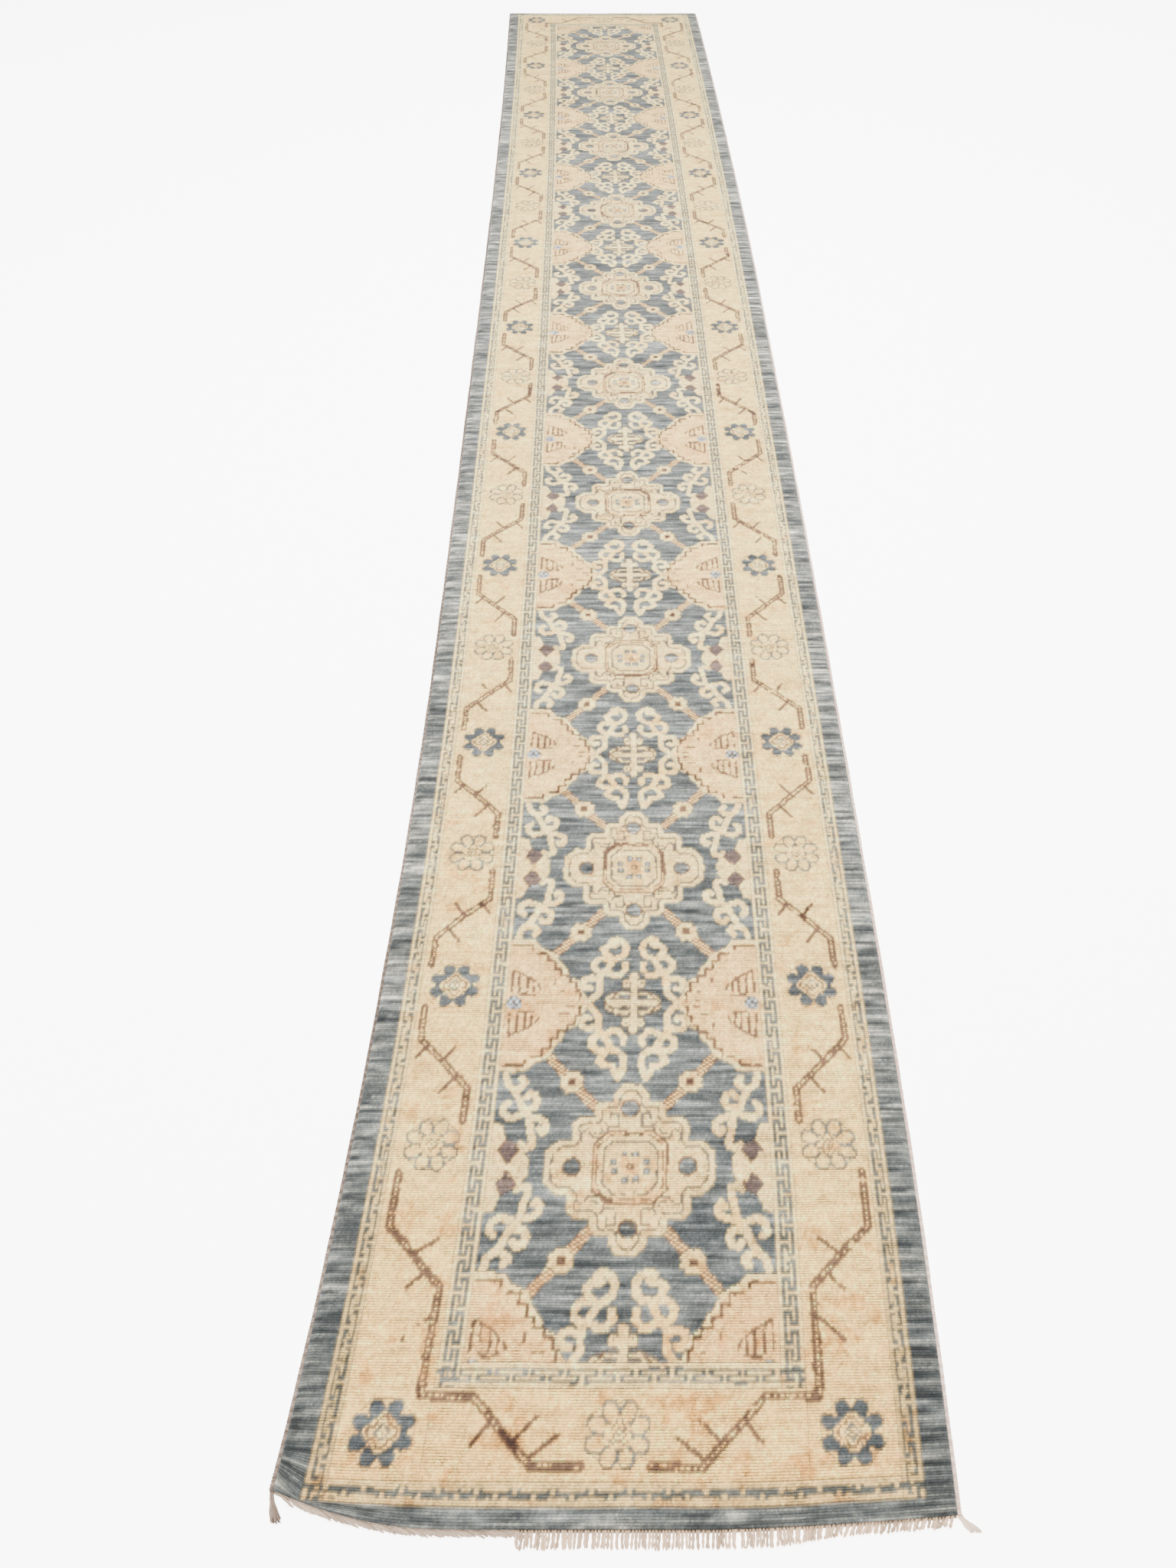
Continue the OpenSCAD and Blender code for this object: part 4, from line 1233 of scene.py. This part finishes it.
def yarn_finish(name, colour, spread, rough, sheen):
    """Spun yarn: a colour that drifts from cord to cord and fine fibres along it."""
    f = Finish(name)
    place = f.add("ShaderNodeTexCoord", out="Object")
    own_colour = f.add("ShaderNodeAttribute", {"attribute_name": "knot"})
    fibre = noise(f, place, 700.0, 3.0)
    tone = noise(f, place, 45.0, 2.0)
    shade = (0.74 + fibre * 0.42) * (1.0 - spread * 0.5 + tone * spread)
    return f.finish(
        Base_Color=shaded(f, own_colour, shade), Roughness=rough + fibre * 0.1,
        Normal=bumped(f, 0.5, 0.5 * MM, fibre), Sheen_Weight=sheen,
        Sheen_Tint=(*linear(colour), 1.0), Specular_IOR_Level=0.25,
    )


def yarn_piece(name, paths, radius, turns, sides, lobes, tint_rows, material, node):
    """A piece of many cords. tint_rows gives each ring of each cord its colour."""
    points, faces = cords(paths, radius, turns, sides, lobes)
    rings = paths.shape[1]
    corner_ring = np.concatenate([f.ravel() for f in faces]) // sides
    colours = tint_rows.reshape(-1, 3)[corner_ring]
    uvs = {"yarn": cord_maps(faces, rings, sides)}
    piece = new_mesh(name, points, faces, uvs, colours, material)
    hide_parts(node)
    print(f"{name:26s} cords {len(paths):4d}  faces {len(piece.data.polygons)}")
    return piece

# %% [markdown]
# ## Selvedges
# The rug's long edges are overcast: wool yarn wound round and round two thick cords. The winding
# shows as slanting ridges, one every four millimetres, so the edge is swept with a D-shaped
# section whose size rises and falls in slanting waves.

# %% Selvedges
WIND_PITCH = 4.2
RING_STEP = 1.3
RIDGE, ROUGH, SUNK = 0.30, 0.12, 0.3
D_MIDDLE = np.array([0.35, 0.5])
selvedge_yarn = yarn_finish("selvedge_wool", (176, 158, 148), 0.25, 0.8, 0.2)
D_SECTION = np.array([
    (0.0, 0.02), (0.40, 0.0), (0.74, 0.08), (0.95, 0.28), (1.0, 0.52), (0.93, 0.76), (0.72, 0.94),
    (0.38, 1.0), (0.0, 0.96),
])


def selvedge(side, node, base_colour, alt_colour):
    """Rings of the D section every RING_STEP; ridges are a sine of the run plus the angle."""
    u = us[0] if side < 0 else us[-1]
    start = cut(u) if side < 0 else 0.0
    run = np.linspace(start, RUG_L, int((RUG_L - start) / RING_STEP))
    foot = lay(np.full_like(run, u), run, 0.0)
    n = len(D_SECTION)
    phase = 2 * np.pi * (run[:, None] / WIND_PITCH + 0.35 * D_SECTION[:, 1])
    slow = 0.25 * np.sin(run / 23) + 0.2 * np.sin(run / 61 + 1)
    ridge = RIDGE * np.sin(phase) + ROUGH * rng.normal(0, 1, len(run))[:, None] + slow[:, None]
    ridge = ridge * (D_SECTION[:, 0] > 0)
    out = D_SECTION - D_MIDDLE
    swell = out / np.linalg.norm(out, axis=1, keepdims=True)
    size = np.array([SELVEDGE_W, SELVEDGE_T])
    section = (D_SECTION * size)[None] + (ridge - SUNK)[..., None] * swell[None]
    section[..., 1] = np.maximum(section[..., 1], 0.0)
    points = np.repeat(foot[:, None, :], n, axis=1)
    points[..., 0] += side * section[..., 0] * MM
    points[..., 2] += section[..., 1] * MM
    ids = np.arange(len(run) * n).reshape(len(run), n)
    after = np.roll(ids, -1, axis=1)
    skin = np.stack([ids[:-1], after[:-1], after[1:], ids[1:]], -1).reshape(-1, 4)
    faces = [skin, ids[:1, ::-1], ids[-1:]]
    if side < 0:
        faces = [f[:, ::-1] for f in faces]
    turn = 0.5 + 0.5 * np.sin(phase[:, 4] / 3 + 0.6 * np.sin(run / 37))
    mix = np.clip(0.6 * turn + 0.25 * np.sin(run / 140) + 0.2 * rng.normal(0, 1, len(run)), 0, 1)
    shade = linear(base_colour) * (1 - mix[:, None]) + linear(alt_colour) * mix[:, None]
    corner_ring = np.concatenate([f.ravel() for f in faces]) // n
    piece = new_mesh(
        node + "_yarn", points.reshape(-1, 3), faces, {"yarn": cord_maps(faces, len(run), n)},
        shade[corner_ring], selvedge_yarn,
    )
    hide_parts(node)
    print(node, "rings", len(run), "faces", len(piece.data.polygons))


selvedge(-1, "selvedge_wrap_left", (84, 70, 60), (150, 130, 116))
selvedge(1, "selvedge_wrap_right", (196, 160, 142), (232, 206, 186))

# %% Core cords keep their CAD shape and get a cotton finish
cord_cotton = cotton("cotton_cord", (222, 210, 190), 0.4, 330.0)
for node in ("selvedge_cords_left", "selvedge_cords_right"):
    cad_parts[node].data.materials.clear()
    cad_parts[node].data.materials.append(cord_cotton)
print("core cords done")

# %% [markdown]
# ## The fringe
# At each end the warps are twisted back into loops. At the front they hang free, each one a fat
# two-ply cord with its own slant, and near the left corner they are folded back over the edge
# and lie slantwise over each other. The slant and length are smooth functions of the place along
# the edge plus a seeded random part.

# %% Fringe
LOOP_PITCH, LOOP_R = 3.8, 1.7
FOLDED_TO, FOLDED_PITCH, FOLDED_R = 288.0, 3.1, 1.2
FOLDED_SLANT, FOLDED_SHORTER = 25.0, 12.0
RIGHT_FROM, RIGHT_SLANT, RIGHT_SHORTER = 590.0, -4.5, 6.0
FRONT_REACH, BACK_REACH = 18.5, 13.0
LOOP_RINGS, LOOP_SIDES, TWO_PLY = 10, 8, 0.22
LOOP_COTTON, FOLDED_COTTON = linear((222, 188, 154)), linear((196, 170, 146))
fringe_yarn = yarn_finish("fringe_cotton", (226, 206, 186), 0.2, 0.82, 0.15)


def fringe(end, node):
    """Loops along one end: straight lines plus sin(pi t) for the bend and the lift."""
    from_u = FOLDED_TO if end < 0 else us[0] + 4
    loop_u = np.arange(from_u, us[-1] - 4, LOOP_PITCH)
    if end < 0:
        loop_u = np.concatenate([np.arange(us[0] + 1, FOLDED_TO, FOLDED_PITCH), loop_u])
    count = len(loop_u)
    loop_u = loop_u + rng.uniform(-0.6, 0.6, count)
    t = np.linspace(0, 1, LOOP_RINGS)
    if end < 0:
        fold = smooth((FOLDED_TO + 8 - loop_u) / 16)
        right = smooth((loop_u - RIGHT_FROM) / 80)
        slant = FOLDED_SLANT * fold + RIGHT_SLANT * right + rng.normal(0, 0.9, count)
        reach = FRONT_REACH - FOLDED_SHORTER * fold - RIGHT_SHORTER * right
        reach = reach + rng.normal(0, 0.8, count)
    else:
        fold = np.zeros(count)
        slant = rng.normal(1.0, 2.0, count)
        reach = BACK_REACH + rng.normal(0, 1.2, count)
    bend = rng.normal(0, 1.0, count)
    root_in = 1.0 + 1.5 * fold
    across = loop_u[:, None] + slant[:, None] * t + bend[:, None] * np.sin(np.pi * t)
    away = -root_in[:, None] + (root_in + reach)[:, None] * t
    along = cut(across) - away if end < 0 else RUG_L + away
    lift = rng.uniform(0.4, 1.5, count)[:, None] * np.sin(np.pi * t) ** 1.3
    thinner = (1 - 0.40 * smooth((t - 0.88) / 0.12)) * (1 - 0.2 * smooth((0.12 - t) / 0.12))
    fatness = (LOOP_R + (FOLDED_R - LOOP_R) * fold)[:, None] * rng.uniform(0.88, 1.1, (count, 1))
    fatness = fatness * thinner
    high = 3.2 * (1 - smooth(t / 0.35)) + 2.2 * fold[:, None] * (1 - t)
    paths = lay(across, along, fatness + 0.15 + lift + high)
    shadow = 1 - 0.3 * (1 - smooth(t / 0.3))
    # Loops are darker or lighter at random. The darkest stand in for painted shade in the gaps
    # between the crowded loops.
    tone = rng.uniform(0.55, 1.05, (count, 1, 1)) * shadow[None, :, None]
    folded_share = fold[:, None, None]
    tints = (LOOP_COTTON * (1 - folded_share) + FOLDED_COTTON * folded_share) * tone
    turns = rng.uniform(1.0, 1.5, count) * (1 + fold)
    yarn_piece(
        node + "_loops", paths, fatness * MM, turns, LOOP_SIDES, TWO_PLY, tints, fringe_yarn,
        node,
    )


fringe(-1, "fringe_front")
fringe(1, "fringe_back")

# %% [markdown]
# ## Tassels
# Each corner ends in the loose ends of the selvedge: strands that leave it close together, spread
# and droop to the floor. The front left tassel is dark wool and lies straight, the front right
# one is pale and sprays outwards, and the back ones are short.

# %% Tassels
tassel_yarn = yarn_finish("tassel_yarn", (190, 172, 160), 0.3, 0.85, 0.2)
STRAND_RINGS, STRAND_SIDES, STRAND_R = 10, 5, 1.35
NECK = 3.0


def tassel(node, corner_u, end, reach, drift, spread, count, colour, other):
    """Strands leave one point in two ropes, fan out as t^1.2 and droop as (1 - t)^1.6."""
    base_v = cut(corner_u) if end < 0 else RUG_L
    foot = lay(corner_u, base_v, 0.0)
    side = -1 if corner_u < MIDDLE_U else 1
    foot = foot + np.array([side * SELVEDGE_W / 2 * MM, 0, 0])
    t = np.linspace(0, 1, STRAND_RINGS)
    fan = (np.where(np.arange(count) % 2, 0.55, -0.6) + rng.uniform(-0.4, 0.4, count))[:, None]
    length = reach * rng.uniform(0.82, 1.0, count)[:, None]
    curl = rng.normal(0, 1.3, count)[:, None]
    start = rng.uniform(-1, 1, (count, 1)) * 1.4
    x = start * (1 - t) + drift * t**1.5 + fan * spread * t**1.2
    x = x + curl * np.sin(2.2 * np.pi * t) * t
    y = end * (length * t - NECK * (1 - t))
    stack = rng.uniform(0, 1, (count, 1))
    z = 0.8 + 4.2 * stack * (1 - t) ** 1.6 + 1.6 * stack * t + 0.5
    paths = np.stack([foot[0] + x * MM, foot[1] + y * MM, z * MM + 0 * x], axis=-1)
    fat = STRAND_R * (1 - 0.4 * t)[None, :] * rng.uniform(0.8, 1.2, (count, 1))
    mix = rng.uniform(0, 1, (count, 1, 1))
    tints = (linear(colour) * (1 - mix) + linear(other) * mix) * np.ones((count, STRAND_RINGS, 1))
    yarn_piece(
        node + "_strands", paths, fat * MM, rng.uniform(1.5, 3, count), STRAND_SIDES, 0.15, tints,
        tassel_yarn, node,
    )


tassel("tassel_front_left", us[0], -1, 33, 10, 6, 40, (84, 66, 56), (142, 122, 108))
tassel("tassel_front_right", us[-1], -1, 17, 17, 7, 34, (226, 196, 170), (240, 216, 190))
tassel("tassel_back_left", us[0], 1, 16, 3, 5, 16, (150, 132, 120), (196, 180, 168))
tassel("tassel_back_right", us[-1], 1, 16, -3, 5, 16, (214, 192, 176), (232, 216, 202))

# %% [markdown]
# ## The floor
# The rug rests on a plain pale floor that glows a little, so that it stays evenly white round the
# rug.

# %% The floor the rug lies on
FLOOR_HALF, FLOOR_Z, FLOOR_GLOW = 40.0, -0.0004, 6.0
floor_mesh = bpy.data.meshes.new("studio_floor")
floor_corners = [(-1, -1), (1, -1), (1, 1), (-1, 1)]
floor_mesh.from_pydata(
    [(x * FLOOR_HALF, y * FLOOR_HALF, FLOOR_Z) for x, y in floor_corners], [], [(0, 1, 2, 3)]
)
floor = bpy.data.objects.new("studio_floor", floor_mesh)
bpy.context.scene.collection.objects.link(floor)
floor_paint = Finish("studio_floor")
floor_mesh.materials.append(floor_paint.finish(
    Base_Color=(0.90, 0.90, 0.90, 1.0), Roughness=0.95, Emission_Color=(1.0, 1.0, 1.0, 1.0),
    Emission_Strength=FLOOR_GLOW,
))

# %% [markdown]
# ## Light
# Wool wants soft light from above, with a little more from the front left, so that the furrows
# between the rows show but nothing glares. The surroundings are a plain pale white.

# %% Light
def softbox(name, place, size, power, tilt):
    """A rectangular lamp: place in metres, power in watts."""
    data = bpy.data.lights.new(name, "AREA")
    data.shape = "RECTANGLE"
    data.size, data.size_y = size
    data.energy = power
    lamp = bpy.data.objects.new(name, data)
    lamp.location = place
    lamp.rotation_euler = tilt
    bpy.context.scene.collection.objects.link(lamp)


KEY_WATTS, TOP_WATTS, SURROUNDINGS = 75, 660, 1.2
key_tilt = (np.radians(18), np.radians(-34), 0)
softbox("key", (-2.2, -2.0, 3.2), (1.6, 1.6), KEY_WATTS, key_tilt)
softbox("top", (0.2, 0.0, 4.2), (3.0, 4.4), TOP_WATTS, (0, 0, 0))
world = bpy.data.worlds.new("studio")
bpy.context.scene.world = world
world.use_nodes = True
background = world.node_tree.nodes["Background"]
background.inputs["Color"].default_value = (1.0, 1.0, 1.0, 1.0)
background.inputs["Strength"].default_value = SURROUNDINGS
print("lights key and top", KEY_WATTS, TOP_WATTS)
